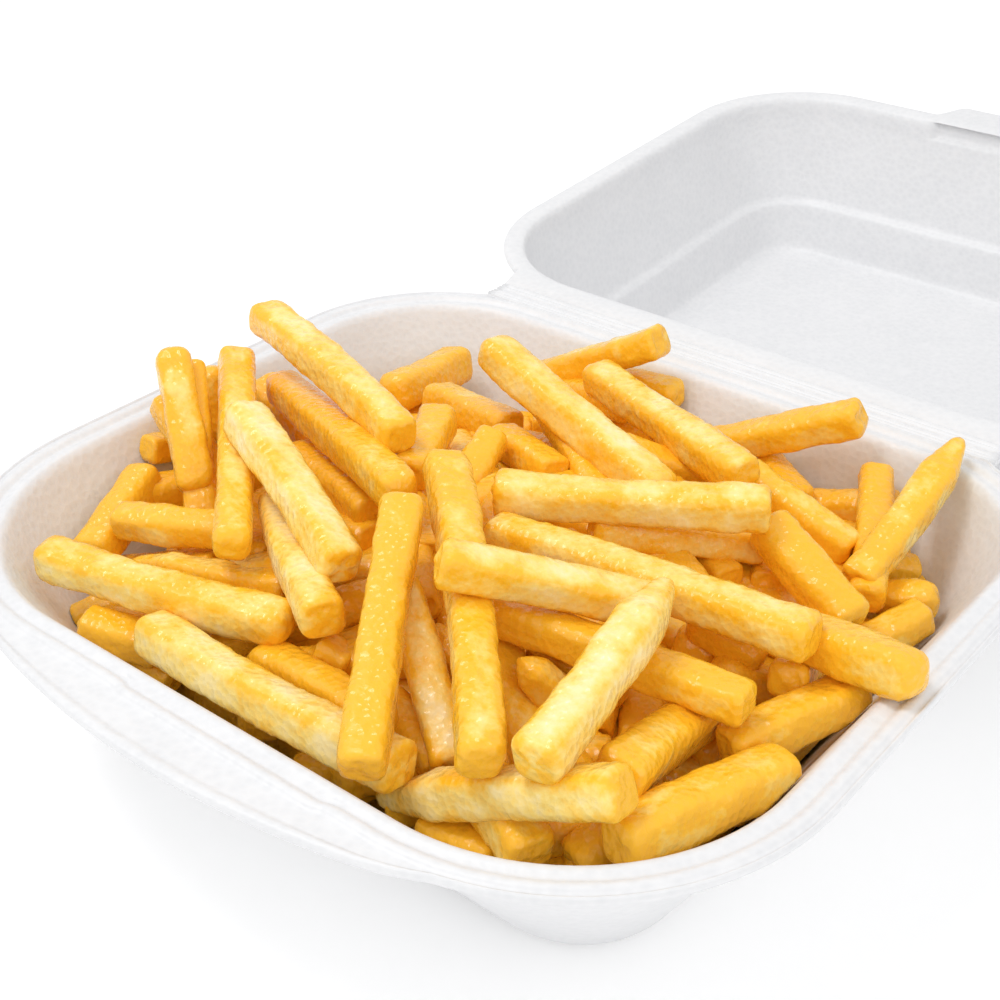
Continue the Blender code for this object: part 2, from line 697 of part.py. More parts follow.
def make_fries(crisp):
    rng = random.Random(SEED + 1)
    fries = settled_fries()
    lofts = [core_rings()]
    lofts += [fry_rings(*fry, math.radians(rng.uniform(-14, 14))) for fry in fries]
    add_props(fries, lofts, rng)
    core = loft("fries", lofts[0], crisp)
    fuse(core, [loft("fry", rings, crisp) for rings in lofts[1:]])
    keep_outer_shell(core)
    shade(core, 50.0)
    return core


def main():
    remove_all_objects()
    foam = material("white foam", (0.93, 0.93, 0.94), 0.45)
    crisp = material("fried potato", (0.93, 0.66, 0.22), 0.45)
    make_tray(foam)
    make_lid(foam)
    make_fries(crisp)


main()
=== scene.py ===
# The looks of the fries in their foam box: fine shells, a folded hinge strip and crisp fries,
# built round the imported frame. Lengths are millimetres; MM turns them into Blender's metres.
# +X runs along the hinge, +Y from the front edge to the hinge, +Z up, and z = 0 is the table.
import math
import random

import bpy
import numpy as np
from mathutils import Matrix, Vector
from mathutils.bvhtree import BVHTree


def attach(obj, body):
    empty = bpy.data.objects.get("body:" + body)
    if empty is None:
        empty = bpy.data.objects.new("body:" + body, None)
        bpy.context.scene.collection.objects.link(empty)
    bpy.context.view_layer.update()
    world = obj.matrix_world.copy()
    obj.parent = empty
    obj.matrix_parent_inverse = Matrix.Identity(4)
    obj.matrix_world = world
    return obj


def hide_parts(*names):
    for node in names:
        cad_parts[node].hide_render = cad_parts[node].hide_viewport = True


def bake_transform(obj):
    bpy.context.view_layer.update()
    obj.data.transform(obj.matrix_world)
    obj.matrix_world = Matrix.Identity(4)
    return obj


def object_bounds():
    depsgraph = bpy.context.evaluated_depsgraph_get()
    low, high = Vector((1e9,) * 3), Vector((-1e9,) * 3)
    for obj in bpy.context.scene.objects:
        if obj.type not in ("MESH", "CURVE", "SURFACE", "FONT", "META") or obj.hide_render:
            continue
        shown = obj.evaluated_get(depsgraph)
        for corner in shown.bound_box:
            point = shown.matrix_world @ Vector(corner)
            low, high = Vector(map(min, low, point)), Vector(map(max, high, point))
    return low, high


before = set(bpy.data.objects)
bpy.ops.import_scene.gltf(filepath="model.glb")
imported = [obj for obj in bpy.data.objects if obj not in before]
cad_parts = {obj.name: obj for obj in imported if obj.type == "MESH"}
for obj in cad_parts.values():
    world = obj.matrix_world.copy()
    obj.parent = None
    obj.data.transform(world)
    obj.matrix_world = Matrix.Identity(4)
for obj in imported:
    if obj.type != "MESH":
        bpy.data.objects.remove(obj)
CAD_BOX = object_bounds()

MM = 0.001

# Tray: half sizes and corner radii of the opening, at the inner edge of its rim
OPEN_X = 100.0
OPEN_Y = 88.3
FRONT_RADIUS = 51.0
BACK_RADIUS = 38.0
RIM_TOP = 58.0
FLOOR_Z = 2.3
RADIUS_TAPER = 1.05
# How much more the front wall leans in than the others, as a share of their inset
FRONT_LEAN = 0.215
# How far in front of the middle that further lean is full
FULL_LEAN_Y = 30.0
RIM_WIDTH = 10.1
# A point further than this from the middle belongs to the front or the back side
SIDE_Y = 60.0

# Closing flange along the front rim: how far it stands out and half its length
FLANGE_DEPTH = 9.8
FLANGE_HALF = 64.0
# How far the outside of the rim follows the flange
FLANGE_UNDER = 0.9

# Ledge that the lid's lock tab hooks under: where it runs along the front rim, between which
# stations, its step, how softly it starts, and the drop and length of the tip on each end
LEDGE_LOW_X = -19.0
LEDGE_HIGH_X = 37.0
LEDGE_OFFSETS = (4.0, 9.05)
LEDGE_STEP = 1.0
LEDGE_EASE = 1.6
LEDGE_TIP_DROP = 0.35
LEDGE_TIP_LENGTH = 3.0

# Lid: half sizes and corner radius of its opening, rim width, and how its corners sharpen
LID_X = 101.4
LID_Y = 88.6
LID_RADIUS = 38.7
LID_RIM = 5.7
LID_RADIUS_TAPER = 1.3
LID_MIN_RADIUS = 12.0
# Lock tab on the lid's free edge, and the recess in the wall behind it
TAB_HALF = 30.0
TAB_DEPTH = 11.0
TAB_EASE = 7.0
TAB_FROM_OFFSET = 3.2
LOCK_RECESS = 2.2
RECESS_HEIGHTS = (-7.0, -1.5)
RECESS_OFFSETS = (-2.5, 1.0)
RECESS_EASE = 2.0

# Hinge: a folded strip of foam between the two rims
FOLD_Y = 100.1
FOLD_Z = 58.15
FOLD_HALF = 81.0
WEB_LENGTH = 8.0
LID_TILT = math.radians(4.0)
STRIP_HALF = 4.6
STRIP_TOP = 58.0
STRIP_BOTTOM = 56.1
# Rims under the strip: how far they reach in, the share of their width that stays, and the
# distance outside the opening from which each runs under it
STRIP_OVERLAP = 0.5
STRIP_TUCK = 0.3
TRAY_UNDER_STRIP = 8.5
LID_UNDER_STRIP = 4.0
# Grooves pressed across the hinge strip: how far from the fold, half width and depth
STRIP_GROOVES = (
    (-3.1, 0.5, 0.35), (-1.5, 0.6, 0.5), (0.0, 0.8, 0.95), (1.4, 0.5, 0.45), (3.0, 0.6, 0.4),
)

# Points along each corner and each straight side of an outline: the shells', and the core's
SHELL_STEPS = (26, 76, 40)
CORE_STEPS = (9, 8, 2)

# Profiles from the middle of the inside, over the rim, to the middle of the outside.
# Each station is (distance outside the opening's edge, height above the table).
TRAY_PROFILE = (
    (-33.5, 2.3), (-30.2, 2.9), (-28.3, 5.0), (-15.2, 27.5), (-1.9, 51.5), (-0.4, 54.6),
    (1.0, 56.9), (2.6, 57.6), (4.0, 57.1), (4.9, 56.9),
    (5.5, 57.3), (6.3, 57.95), (7.6, 58.0), (8.4, 57.4), (9.0, 57.3),
)
# The closing flange's stations are (share of its reach, distance outside, height).
FLANGE_PROFILE = (
    (0.35, 9.1, 57.3), (0.7, 9.1, 57.3), (0.8, 9.2, 57.35), (0.84, 9.3, 57.75),
    (0.97, 9.8, 57.8), (1.0, 10.05, 57.4), (1.0, 10.1, 56.6), (1.0, 10.0, 55.9),
    (0.98, 9.6, 55.5),
)
TRAY_UNDER = (
    (9.1, 55.3), (3.4, 55.0), (0.9, 51.4), (-12.7, 27.0), (-26.5, 3.0), (-28.6, 0.7),
    (-32.5, 0.0),
)
# The lid's stations are (distance outside its opening, height above the plane of its rim).
LID_PROFILE = (
    (-21.5, -56.6), (-18.6, -55.8), (-17.0, -53.8), (-13.5, -40.0), (-12.7, -38.5), (-10.5, -37.5),
    (-3.1, -10.5), (-2.4, -7.6), (-1.9, -3.6), (-1.3, -1.7), (-0.1, -0.7), (2.6, -0.4),
    (4.7, -0.4), (5.7, -1.2), (5.7, -2.3), (4.7, -3.1), (2.9, -3.5), (1.3, -6.0),
    (-8.3, -38.6), (-10.3, -41.4), (-11.6, -43.0), (-14.9, -55.6), (-17.4, -58.0),
    (-21.5, -58.8),
)
# How far from its corner each bend of the tray's and the lid's profile is cut
BEND_RADIUS = 1.3
LID_BEND_RADIUS = 1.0

# Where the picture was seen from: the places of the fries that show are named by their
# points in that picture, in a frame 1000 wide and high.
PICTURE_CENTRE = 500.0
PICTURE_FOCUS = 1597.4
SENSOR = 36.0
EYE_DISTANCE = 383.0
EYE_AZIMUTH = math.radians(38.8)
EYE_ELEVATION = math.radians(31.7)
LOOK_AT = np.array((-6.3, 9.8, 55.0))
BACK = np.array((math.sin(EYE_AZIMUTH) * math.cos(EYE_ELEVATION),
                 -math.cos(EYE_AZIMUTH) * math.cos(EYE_ELEVATION),
                 math.sin(EYE_ELEVATION)))
RIGHT = np.array((math.cos(EYE_AZIMUTH), math.sin(EYE_AZIMUTH), 0.0))
UP = np.cross(BACK, RIGHT)
EYE = LOOK_AT + EYE_DISTANCE * BACK

# Heap: the lowest fries that show lie on a low mound, higher ones in levels over it
MOUND_EDGE = 35.0
MOUND_HEIGHT = 20.0
LEVEL = 7.0
# How deep fries press into each other and into a prop under them, and the most props
SINK = 0.6
PROP_SINK = 2.4
MOST_PROPS = 60
# The solid core: how far its edge lies under the mound, how much more its middle rises, its
# half sizes, and which of its outline's points are used: every second
CORE_DEPTH = 7.0
CORE_RISE = 7.0
CORE_HALF_X = 75.0
CORE_HALF_Y = 64.0
CORE_STRIDE = 2
# Cells of the hidden fries' grid
GRID_X = 7
GRID_Y = 6
# Settling: rounds, how far one lowers the shown fries and lifts the hidden ones, and how far
# over the core the shown ones stay
SETTLE_ROUNDS = 120
WEIGHT = 0.3
LIFT = 0.15
REST = 4.0
SEED = 8
# The inner wall, and the lid's when it is shut, drawn in from the opening by height
WALL_HEIGHTS = (FLOOR_Z, 5.0, 27.5, 51.5, 55.0, 62.0, 96.0)
WALL_INSETS = (30.5, 28.3, 15.2, 1.9, 0.0, 0.5, 12.0)
# Moves that are tried, the shortest first, to bring a fry clear of the tray
SHIFTS = np.array(sorted(np.arange(-90.0, 90.5, 0.5), key=abs))

# Stations along a fry: part of its length, and the size of its cross-section there
ENDS_BY_KIND = {
    "cut": ((0.0, 0.78), (0.035, 1.0), (0.965, 1.0), (1.0, 0.78)),
    "round": ((0.0, 0.55), (0.07, 0.97), (0.94, 1.0), (1.0, 0.6)),
    "pointed": ((0.0, 0.28), (0.24, 0.92), (0.95, 1.0), (1.0, 0.75)),
    "over rim": ((0.0, 0.7), (0.1, 1.0), (0.85, 0.98), (1.0, 0.6)),
    "over corner": ((0.0, 0.28), (0.24, 0.92), (0.95, 1.0), (1.0, 0.75)),
    "hidden": ((0.0, 0.8), (1.0, 0.8)),
}
OVER_KINDS = ("over rim", "over corner")
BEVEL = 0.62

# Fries at full detail: distance between cross-sections, points round each one, and how square
# it is
SKIN_STEP = 1.05
FRY_SIDES = 36
HIDDEN_SKIN_STEP = 1.6
HIDDEN_SIDES = 24
SQUARENESS = 3.7
# How round each kind's first and last end is, as shares of half its thickness
END_ROUNDING = {
    "cut": (0.36, 0.36), "round": (0.85, 0.65), "pointed": (0.5, 0.36), "hidden": (0.3, 0.3),
    "over rim": (0.4, 0.75), "over corner": (0.6, 0.3),
}
TAPERED = ("pointed", "over corner")
RIPPLE_WAVES = 20
# Places of the fries that cover the core
BED_X = np.arange(-63.0, 64.0, 21.0)
BED_Y = np.arange(-51.0, 52.0, 17.0)

# Colours of fried potato, from pale cream-yellow through gold to deep amber and brown
FRY_COLOURS = (
    (0.0, (1.0, 0.84, 0.42)), (0.22, (1.0, 0.75, 0.21)), (0.48, (1.0, 0.56, 0.025)),
    (0.74, (0.98, 0.37, 0.0015)), (1.0, (0.66, 0.17, 0.001)),
)
# What is taken off the summed depth before it picks a colour
COLOUR_SHIFT = 0.48
# How deep the colour of a fry is that the picture doesn't show: deeper than most shown
# fries, as painted shade on the fries that lie underneath
UNDERNEATH_SHADE_TONE = 0.72
# Scales of the skin's patterns
BLISTER_SCALE = 560.0
WRINKLE_SCALE = 520.0
PATCH_SCALE = 240.0
BROAD_SCALE = 45.0

# Foam: its two shades, and the scales of its pressed beads, grain and faint clouds
FOAM_COLOURS = ((0.15, (0.74, 0.745, 0.76)), (0.75, (0.81, 0.81, 0.82)))
BEAD_SCALE = 520.0
GRAIN_SCALE = 900.0
CLOUD_SCALE = 60.0

# Stage: glow of the floor and world, places and sizes in metres, power in watts
TABLE_GLOW = 0.20
TABLE_SIZE = 40.0
WORLD_LIGHT = 0.80
KEY_POWER = 4.4
KEY_SIZE = 0.4
KEY_PLACE = (-0.35, -0.25, 1.1)
FILL_POWER = 1.6
FILL_SIZE = 0.7
FILL_PLACE = (0.75, -0.35, 0.7)
LIGHT_TARGET = (0.0, 0.0, 0.05)

# One row for each fry that shows: picture point of one end, picture point of the other
# end, thickness, level of each end, its kind, and how deep its colour is from 0 to 1, which
# is partly the fry's own browning and partly painted shade, deeper on the low fries.
FRIES = (
    (171, 348, 197, 492, 9.0, 3.2, 3.2, "round", 0.62),
    (212, 366, 214, 440, 7.0, 1.0, 1.0, "round", 0.6),
    (238, 354, 233, 550, 9.0, 2.6, 2.6, "round", 0.38),
    (118, 520, 240, 532, 8.6, 2.0, 2.0, "cut", 0.55),
    (244, 415, 345, 568, 10.0, 4.0, 4.0, "cut", 0.15),
    (276, 505, 322, 622, 10.0, 3.0, 3.0, "cut", 0.08),
    (148, 474, 92, 556, 10.0, 1.4, 1.4, "cut", 0.6),
    (132, 564, 290, 590, 8.6, 1.6, 1.6, "pointed", 0.4),
    (38, 556, 290, 628, 9.8, 2.6, 2.6, "round", 0.25),
    (84, 622, 160, 650, 8.6, 0.2, 0.2, "cut", 0.8),
    (147, 632, 400, 772, 10.2, 2.6, 2.6, "cut", 0.2),
    (264, 658, 385, 724, 9.2, 1.6, 1.6, "cut", 0.78),
    (385, 700, 442, 768, 8.6, 1.0, 1.0, "cut", 0.6),
    (403, 503, 360, 772, 9.4, 4.0, 4.0, "cut", 0.85),
    (402, 585, 452, 766, 8.6, 1.6, 1.6, "cut", 0.3),
    (449, 462, 486, 764, 9.8, 5.0, 2.8, "cut", 0.35),
    (478, 775, 533, 858, 11.0, 1.6, 2.0, "cut", 0.45),
    (380, 796, 624, 791, 10.0, 5.4, 5.2, "pointed", 0.12),
    (425, 825, 500, 860, 9.0, 0.5, 0.5, "cut", 0.8),
    (655, 800, 578, 868, 10.5, 1.4, 1.4, "cut", 0.75),
    (670, 582, 535, 765, 10.4, 4.4, 4.4, "pointed", 0.05),
    (438, 561, 652, 606, 9.4, 6.2, 3.8, "cut", 0.30),
    (492, 532, 815, 638, 10.0, 3.2, 3.2, "cut", 0.2),
    (494, 494, 770, 510, 9.6, 4.0, 4.0, "cut", 0.15),
    (590, 530, 762, 547, 8.0, 2.0, 2.0, "cut", 0.35),
    (487, 345, 665, 498, 10.2, 5.0, 3.4, "round", 0.38),
    (662, 341, 530, 382, 9.4, 2.0, 2.0, "cut", 0.45),
    (596, 375, 746, 478, 9.6, 3.2, 3.2, "cut", 0.3),
    (742, 472, 852, 553, 8.8, 2.6, 2.6, "cut", 0.5),
    (862, 417, 712, 446, 9.2, 2.0, 2.0, "cut", 0.48),
    (764, 458, 802, 502, 8.0, 1.6, 1.6, "round", 0.7),
    (900, 508, 800, 508, 8.6, 1.2, 1.2, "cut", 0.58),
    (963, 441, 858, 584, 9.2, 3.4, 3.4, "over corner", 0.35),
    (765, 524, 853, 624, 10.4, 3.2, 3.2, "cut", 0.78),
    (800, 634, 922, 680, 10.6, 2.0, 3.6, "over rim", 0.55),
    (860, 690, 727, 752, 10.0, 2.6, 2.6, "cut", 0.62),
    (785, 768, 614, 846, 11.0, 3.2, 3.2, "cut", 0.6),
    (715, 703, 612, 780, 10.6, 2.6, 2.6, "cut", 0.5),
    (490, 609, 750, 706, 9.0, 3.0, 3.0, "cut", 0.66),
    (520, 660, 570, 710, 8.0, 1.8, 1.8, "pointed", 0.35),
    (495, 640, 537, 770, 9.4, 1.0, 1.0, "cut", 0.6),
    (535, 645, 620, 700, 8.6, 0.8, 0.8, "cut", 0.7),
    (690, 615, 766, 658, 8.8, 2.0, 2.0, "round", 0.7),
    (675, 640, 730, 665, 8.0, 1.4, 1.4, "cut", 0.7),
    (822, 640, 786, 682, 8.6, 2.0, 2.0, "cut", 0.6),
    (712, 672, 778, 688, 8.6, 1.4, 1.4, "round", 0.75),
    (850, 560, 917, 573, 7.4, 1.0, 1.0, "cut", 0.7),
    (872, 598, 938, 602, 8.6, 1.0, 1.0, "round", 0.62),
    (868, 646, 926, 614, 8.6, 1.4, 1.4, "cut", 0.6),
    (388, 396, 462, 362, 11.0, 1.6, 1.6, "round", 0.62),
    (436, 398, 512, 430, 10.0, 1.4, 1.4, "cut", 0.66),
    (440, 418, 410, 476, 9.4, 1.8, 1.8, "cut", 0.6),
    (493, 438, 460, 490, 8.6, 2.0, 2.0, "cut", 0.7),
    (500, 436, 556, 474, 8.6, 1.8, 1.8, "cut", 0.72),
    (300, 455, 375, 515, 10.0, 0.6, 0.6, "cut", 0.8),
    (262, 385, 330, 455, 10.0, 0.6, 0.6, "cut", 0.8),
    (266, 313, 405, 437, 9.6, 2.8, 2.8, "cut", 0.32),
    (280, 384, 404, 494, 10.0, 2.8, 2.8, "round", 0.42),
    (620, 380, 680, 398, 8.6, 1.2, 1.2, "round", 0.7),
    (572, 400, 645, 442, 8.0, 0.8, 0.8, "cut", 0.7),
    (618, 450, 716, 482, 8.6, 1.6, 1.6, "cut", 0.6),
    (146, 450, 190, 444, 7.4, 0.6, 0.6, "cut", 0.75),
    (235, 540, 275, 556, 8.0, 0.8, 0.8, "cut", 0.85),
    (410, 480, 420, 610, 9.0, 0.8, 0.8, "cut", 0.8),
    (320, 648, 352, 668, 8.0, 0.4, 0.4, "cut", 0.7),
    (634, 862, 690, 835, 7.6, 0.8, 0.8, "cut", 0.75),
    (535, 835, 590, 822, 8.6, 0.4, 0.4, "cut", 0.75),
    (128, 655, 175, 684, 8.0, 0.2, 0.2, "cut", 0.8),
)


# Box


def outline(half_x, half_y, front_radius, back_radius, steps):
    """Points round a rounded rectangle, from the left end of its front side."""
    corner_steps, long_steps, short_steps = steps
    corners = (
        (-1, -1, front_radius, 180), (1, -1, front_radius, 270),
        (1, 1, back_radius, 0), (-1, 1, back_radius, 90),
    )
    side_steps = (long_steps, short_steps, long_steps, short_steps)
    arcs = []
    for sx, sy, radius, start in corners:
        centre = (sx * (half_x - radius), sy * (half_y - radius))
        arc = []
        for step in range(corner_steps + 1):
            angle = math.radians(start + 90 * step / corner_steps)
            arc.append((centre[0] + radius * math.cos(angle), centre[1] + radius * math.sin(angle)))
        arcs.append(arc)
    points = []
    for index, arc in enumerate(arcs):
        following = arcs[(index + 1) % 4][0]
        points.extend(arc)
        for step in range(1, side_steps[index]):
            part = step / side_steps[index]
            points.append((arc[-1][0] + part * (following[0] - arc[-1][0]),
                           arc[-1][1] + part * (following[1] - arc[-1][1])))
    return points


def rounded(stations, radius):
    """The profile with each bend cut twice, so that it turns softly."""
    for cut in (radius, radius * 0.4):
        softer = [stations[0]]
        for before, here, after in zip(stations, stations[1:], stations[2:]):
            for other in (before, after):
                length = math.dist(here, other)
                share = min(cut, 0.3 * length) / length
                softer.append(tuple(h + share * (o - h) for h, o in zip(here, other)))
        softer.append(stations[-1])
        stations = softer
    return stations


def mesh_piece(name, points, faces, mat, matrix=None):
    """A smooth mesh object from points in millimetres."""
    data = bpy.data.meshes.new(name)
    data.from_pydata((np.asarray(points, float) * MM).tolist(), [], faces)
    data.validate()
    data.shade_smooth()
    data.materials.append(mat)
    obj = bpy.data.objects.new(name, data)
    bpy.context.collection.objects.link(obj)
    if matrix is not None:
        data.transform(matrix)
    return obj


def ring_faces(rows, count):
    """Quads between rows of points that each hold one ring, and a cap on each end."""
    faces = []
    for row in range(rows - 1):
        low = row * count
        for index in range(count):
            after = (index + 1) % count
            faces.append((low + index, low + after, low + count + after, low + count + index))
    faces.append(tuple(range(count))[::-1])
    faces.append(tuple(range((rows - 1) * count, rows * count)))
    return faces


def shell(name, rings, mat, matrix=None):
    """Closed shell through rings that start and end in the middle of a floor."""
    points = [point for ring in rings for point in ring]
    faces = [face[::-1] for face in ring_faces(len(rings), len(rings[0]))]
    return mesh_piece(name, points, faces, mat, matrix)


def smooth_step(value):
    """0 up to 0, 1 from 1 on, and an S-curve between."""
    value = min(1.0, max(0.0, value))
    return value * value * (3 - 2 * value)


def flange_reach(x):
    """How far the closing flange stands out of the front rim at x."""
    return FLANGE_DEPTH * max(0.0, 1.0 - (x / FLANGE_HALF) ** 2)


def ledge_step(x):
    """1 along the ledge that the lock tab hooks under, 0 beside it."""
    return smooth_step((x - LEDGE_LOW_X) / LEDGE_EASE) * smooth_step((LEDGE_HIGH_X - x) / LEDGE_EASE)


def ledge_end(x):
    """1 at each end of that ledge, where the rim dips, and 0 away from it."""
    nearest = min(abs(x - LEDGE_LOW_X), abs(x - LEDGE_HIGH_X))
    return smooth_step(1.0 - nearest / LEDGE_TIP_LENGTH)


def tray_point(x, y, offset, z, reach_share):
    """A tray station's point, moved out along the flange by a share of its reach."""
    if y < -SIDE_Y:
        if LEDGE_OFFSETS[0] < offset < LEDGE_OFFSETS[1]:
            y -= LEDGE_STEP * ledge_step(x)
            z -= LEDGE_TIP_DROP * ledge_end(x)
        y -= reach_share * flange_reach(x)
    if offset > TRAY_UNDER_STRIP and y > SIDE_Y and abs(x) < FOLD_HALF:
        y = FOLD_Y - STRIP_HALF + STRIP_OVERLAP - STRIP_TUCK * (RIM_WIDTH - offset)
    return x, y, z


def corner_radii(offset):
    """Front and back corner radius of the tray's outline moved outwards by offset."""
    share = 1 + RADIUS_TAPER * np.minimum(offset, 0.0) / FRONT_RADIUS
    growth = np.maximum(offset, 0.0)
    return FRONT_RADIUS * share + growth, BACK_RADIUS * share + growth


def tray_outline(offset, steps):
    """The tray's outline moved outwards by offset, with its front wall's further lean."""
    front, back = corner_radii(offset)
    lean = FRONT_LEAN * min(offset, 0.0)
    points = outline(OPEN_X + offset, OPEN_Y + offset, front, back, steps)
    return [(x, y - lean * min(1.0, max(0.0, -y / FULL_LEAN_Y))) for x, y in points]


def tray_ring(offset, z, reach_share=0.0):
    """One station of the tray, round its whole outline."""
    return [tray_point(x, y, offset, z, reach_share) for x, y in tray_outline(offset, SHELL_STEPS)]


def make_tray(foam):
    """The tray: inside and rim, then the flange with its raised edge band, then the outside."""
    rings = [tray_ring(offset, z) for offset, z in rounded(TRAY_PROFILE, BEND_RADIUS)]
    rings += [tray_ring(offset, z, share) for share, offset, z in FLANGE_PROFILE]
    rings += [tray_ring(offset, z, FLANGE_UNDER if offset > 9.0 else 0.0)
              for offset, z in rounded(TRAY_UNDER, BEND_RADIUS)]
    return shell("tray_shell", rings, foam)


def tab_reach(x):
    """How far the lock tab stands out of the lid's free edge at x, with eased ends."""
    return TAB_DEPTH * smooth_step((TAB_HALF + TAB_EASE / 2 - abs(x)) / TAB_EASE)


def lid_ring(offset, height):
    """One station of the lid, drawn on its rim's plane with the fold along y = 0."""
    radius = LID_RADIUS + (offset if offset > 0 else LID_RADIUS_TAPER * offset)
    radius = max(radius, LID_MIN_RADIUS)
    centre = WEB_LENGTH + LID_RIM + LID_Y
    in_recess = (RECESS_HEIGHTS[0] < height < RECESS_HEIGHTS[1]
                 and RECESS_OFFSETS[0] < offset < RECESS_OFFSETS[1])
    points = []
    for x, y in outline(LID_X + offset, LID_Y + offset, radius, radius, SHELL_STEPS):
        if offset > LID_UNDER_STRIP and y < -SIDE_Y and abs(x) < FOLD_HALF:
            y = -centre + STRIP_HALF - STRIP_OVERLAP + STRIP_TUCK * (LID_RIM - offset)
        if offset > TAB_FROM_OFFSET and y > SIDE_Y:
            y += tab_reach(x)
        if in_recess and y > SIDE_Y:
            y += LOCK_RECESS * smooth_step((TAB_HALF + RECESS_EASE - abs(x)) / RECESS_EASE)
        points.append((x, y + centre, height))
    return points


def lid_place():
    """Where the lid's own plane lies at rest: on the fold, tipped back a little."""
    return (Matrix.Translation(Vector((0.0, FOLD_Y, FOLD_Z)) * MM)
            @ Matrix.Rotation(LID_TILT, 4, "X"))


def make_lid(foam):
    """The lid: its inside, rolled rim and lock tab, then the outside."""
    rings = [lid_ring(offset, height) for offset, height in rounded(LID_PROFILE, LID_BEND_RADIUS)]
    return shell("lid_shell", rings, foam, lid_place())


def strip_top(y):
    """Height of the hinge strip's top over its grooves."""
    depth = max(d * max(0.0, 1 - abs(y - at) / half) for at, half, d in STRIP_GROOVES)
    return STRIP_TOP - depth + 0.02 * (y > 0)


def make_hinge_strip(foam):
    """One strip of foam that carries the fold lines."""
    across = np.linspace(-STRIP_HALF, STRIP_HALF, 61)
    section = [(y, strip_top(y)) for y in across]
    section += [(y, STRIP_BOTTOM) for y in across[::-3]]
    xs = np.linspace(-FOLD_HALF + 0.6, FOLD_HALF - 0.6, 55)
    points = []
    for x in xs:
        narrow = 0.6 * smooth_step((abs(x) - FOLD_HALF + 5.0) / 5.0)
        points += [(x, FOLD_Y + y * (1 - narrow * 0.3), z) for y, z in section]
    return mesh_piece("hinge_strip", points, ring_faces(len(xs), len(section)), foam)


# Heap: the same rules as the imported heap, so that each fry lies where its solid does


def sight_line(px, py):
    """Direction from the eye through a picture point."""
    ray = ((px - PICTURE_CENTRE) * RIGHT - (py - PICTURE_CENTRE) * UP) / PICTURE_FOCUS - BACK
    return ray / np.linalg.norm(ray)


def mound(x, y):
    """Height of the lowest fries that show."""
    across = 1 - np.minimum((x / OPEN_X) ** 2, 1)
    along = 1 - np.minimum((y / OPEN_Y) ** 2, 1)
    return MOUND_EDGE + MOUND_HEIGHT * across * along


def core_top(x, y):
    """Height of the heap's solid core, under all its fries."""
    across = 1 - np.minimum((x / CORE_HALF_X) ** 2, 1)
    along = 1 - np.minimum((y / CORE_HALF_Y) ** 2, 1)
    return mound(x, y) + CORE_RISE * across * along - CORE_DEPTH


def end_on_mound(px, py, lift):
    """Where the sight line through a picture point meets the mound raised by lift."""
    ray = sight_line(px, py)
    reach = np.arange(0.4, 1.7, 0.00125) * EYE_DISTANCE
    points = EYE + reach[:, None] * ray
    below = points[:, 2] <= mound(points[:, 0], points[:, 1]) + lift
    return points[int(np.argmax(below))], -ray


def outside_wall(x, y, inset):
    """Signed distance outside of the opening's outline drawn in by inset."""
    front, back = corner_radii(-inset)
    radius = np.where(y > 0, back, front)
    beyond_x = np.abs(x) - (OPEN_X - inset) + radius
    lean = np.where(y > 0, 0.0, FRONT_LEAN * np.maximum(inset, 0.0))
    beyond_y = np.abs(y) + lean - (OPEN_Y - inset) + radius
    corner = np.hypot(np.maximum(beyond_x, 0), np.maximum(beyond_y, 0))
    return corner + np.minimum(np.maximum(beyond_x, beyond_y), 0) - radius


def clear_of_tray(point, half, over_rim):
    """True where a fry of this half thickness is clear of the tray's walls and floor."""
    x, y, z = point[..., 0], point[..., 1], point[..., 2]
    inset = np.interp(z, WALL_HEIGHTS, WALL_INSETS)
    inside = outside_wall(x, y, inset) < -half - 0.4
    above = (z - half > RIM_TOP + 0.4) & over_rim
    return (above | inside) & (z - half > FLOOR_Z + 0.4)


def shift_clear(point, way, half, over_rim):
    """Shortest move along way that brings a point clear of the tray."""
    tries = point + SHIFTS[:, None] * way
    clear = clear_of_tray(tries, half, over_rim)
    return SHIFTS[int(np.argmax(clear))] * way if clear.any() else 0.0 * way


def closest(p0, p1, q0, q1):
    """For pairs of segments, how far along each one their closest points lie."""
    u, v, w = p1 - p0, q1 - q0, p0 - q0
    uu, uv, vv = (u * u).sum(-1), (u * v).sum(-1), (v * v).sum(-1)
    uw, vw = (u * w).sum(-1), (v * w).sum(-1)
    s = np.clip((uv * vw - vv * uw) / np.maximum(uu * vv - uv * uv, 1e-9), 0, 1)
    t = np.clip((uv * s + vw) / np.maximum(vv, 1e-9), 0, 1)
    s = np.clip((uv * t - uw) / np.maximum(uu, 1e-9), 0, 1)
    return s, t


def every_pair(ends):
    """Each pair of fries, their closest places, and the way from the second to the first."""
    first, second = np.triu_indices(len(ends), 1)
    s, t = closest(ends[first, 0], ends[first, 1], ends[second, 0], ends[second, 1])
    on_first = ends[first, 0] + s[:, None] * (ends[first, 1] - ends[first, 0])
    on_second = ends[second, 0] + t[:, None] * (ends[second, 1] - ends[second, 0])
    return first, second, s, t, on_first - on_second


def hidden_top(x, y):
    """Height that hidden fries start at, before the shown ones push them down."""
    return 2 * (core_top(x, y) + CORE_DEPTH) - mound(x, y)


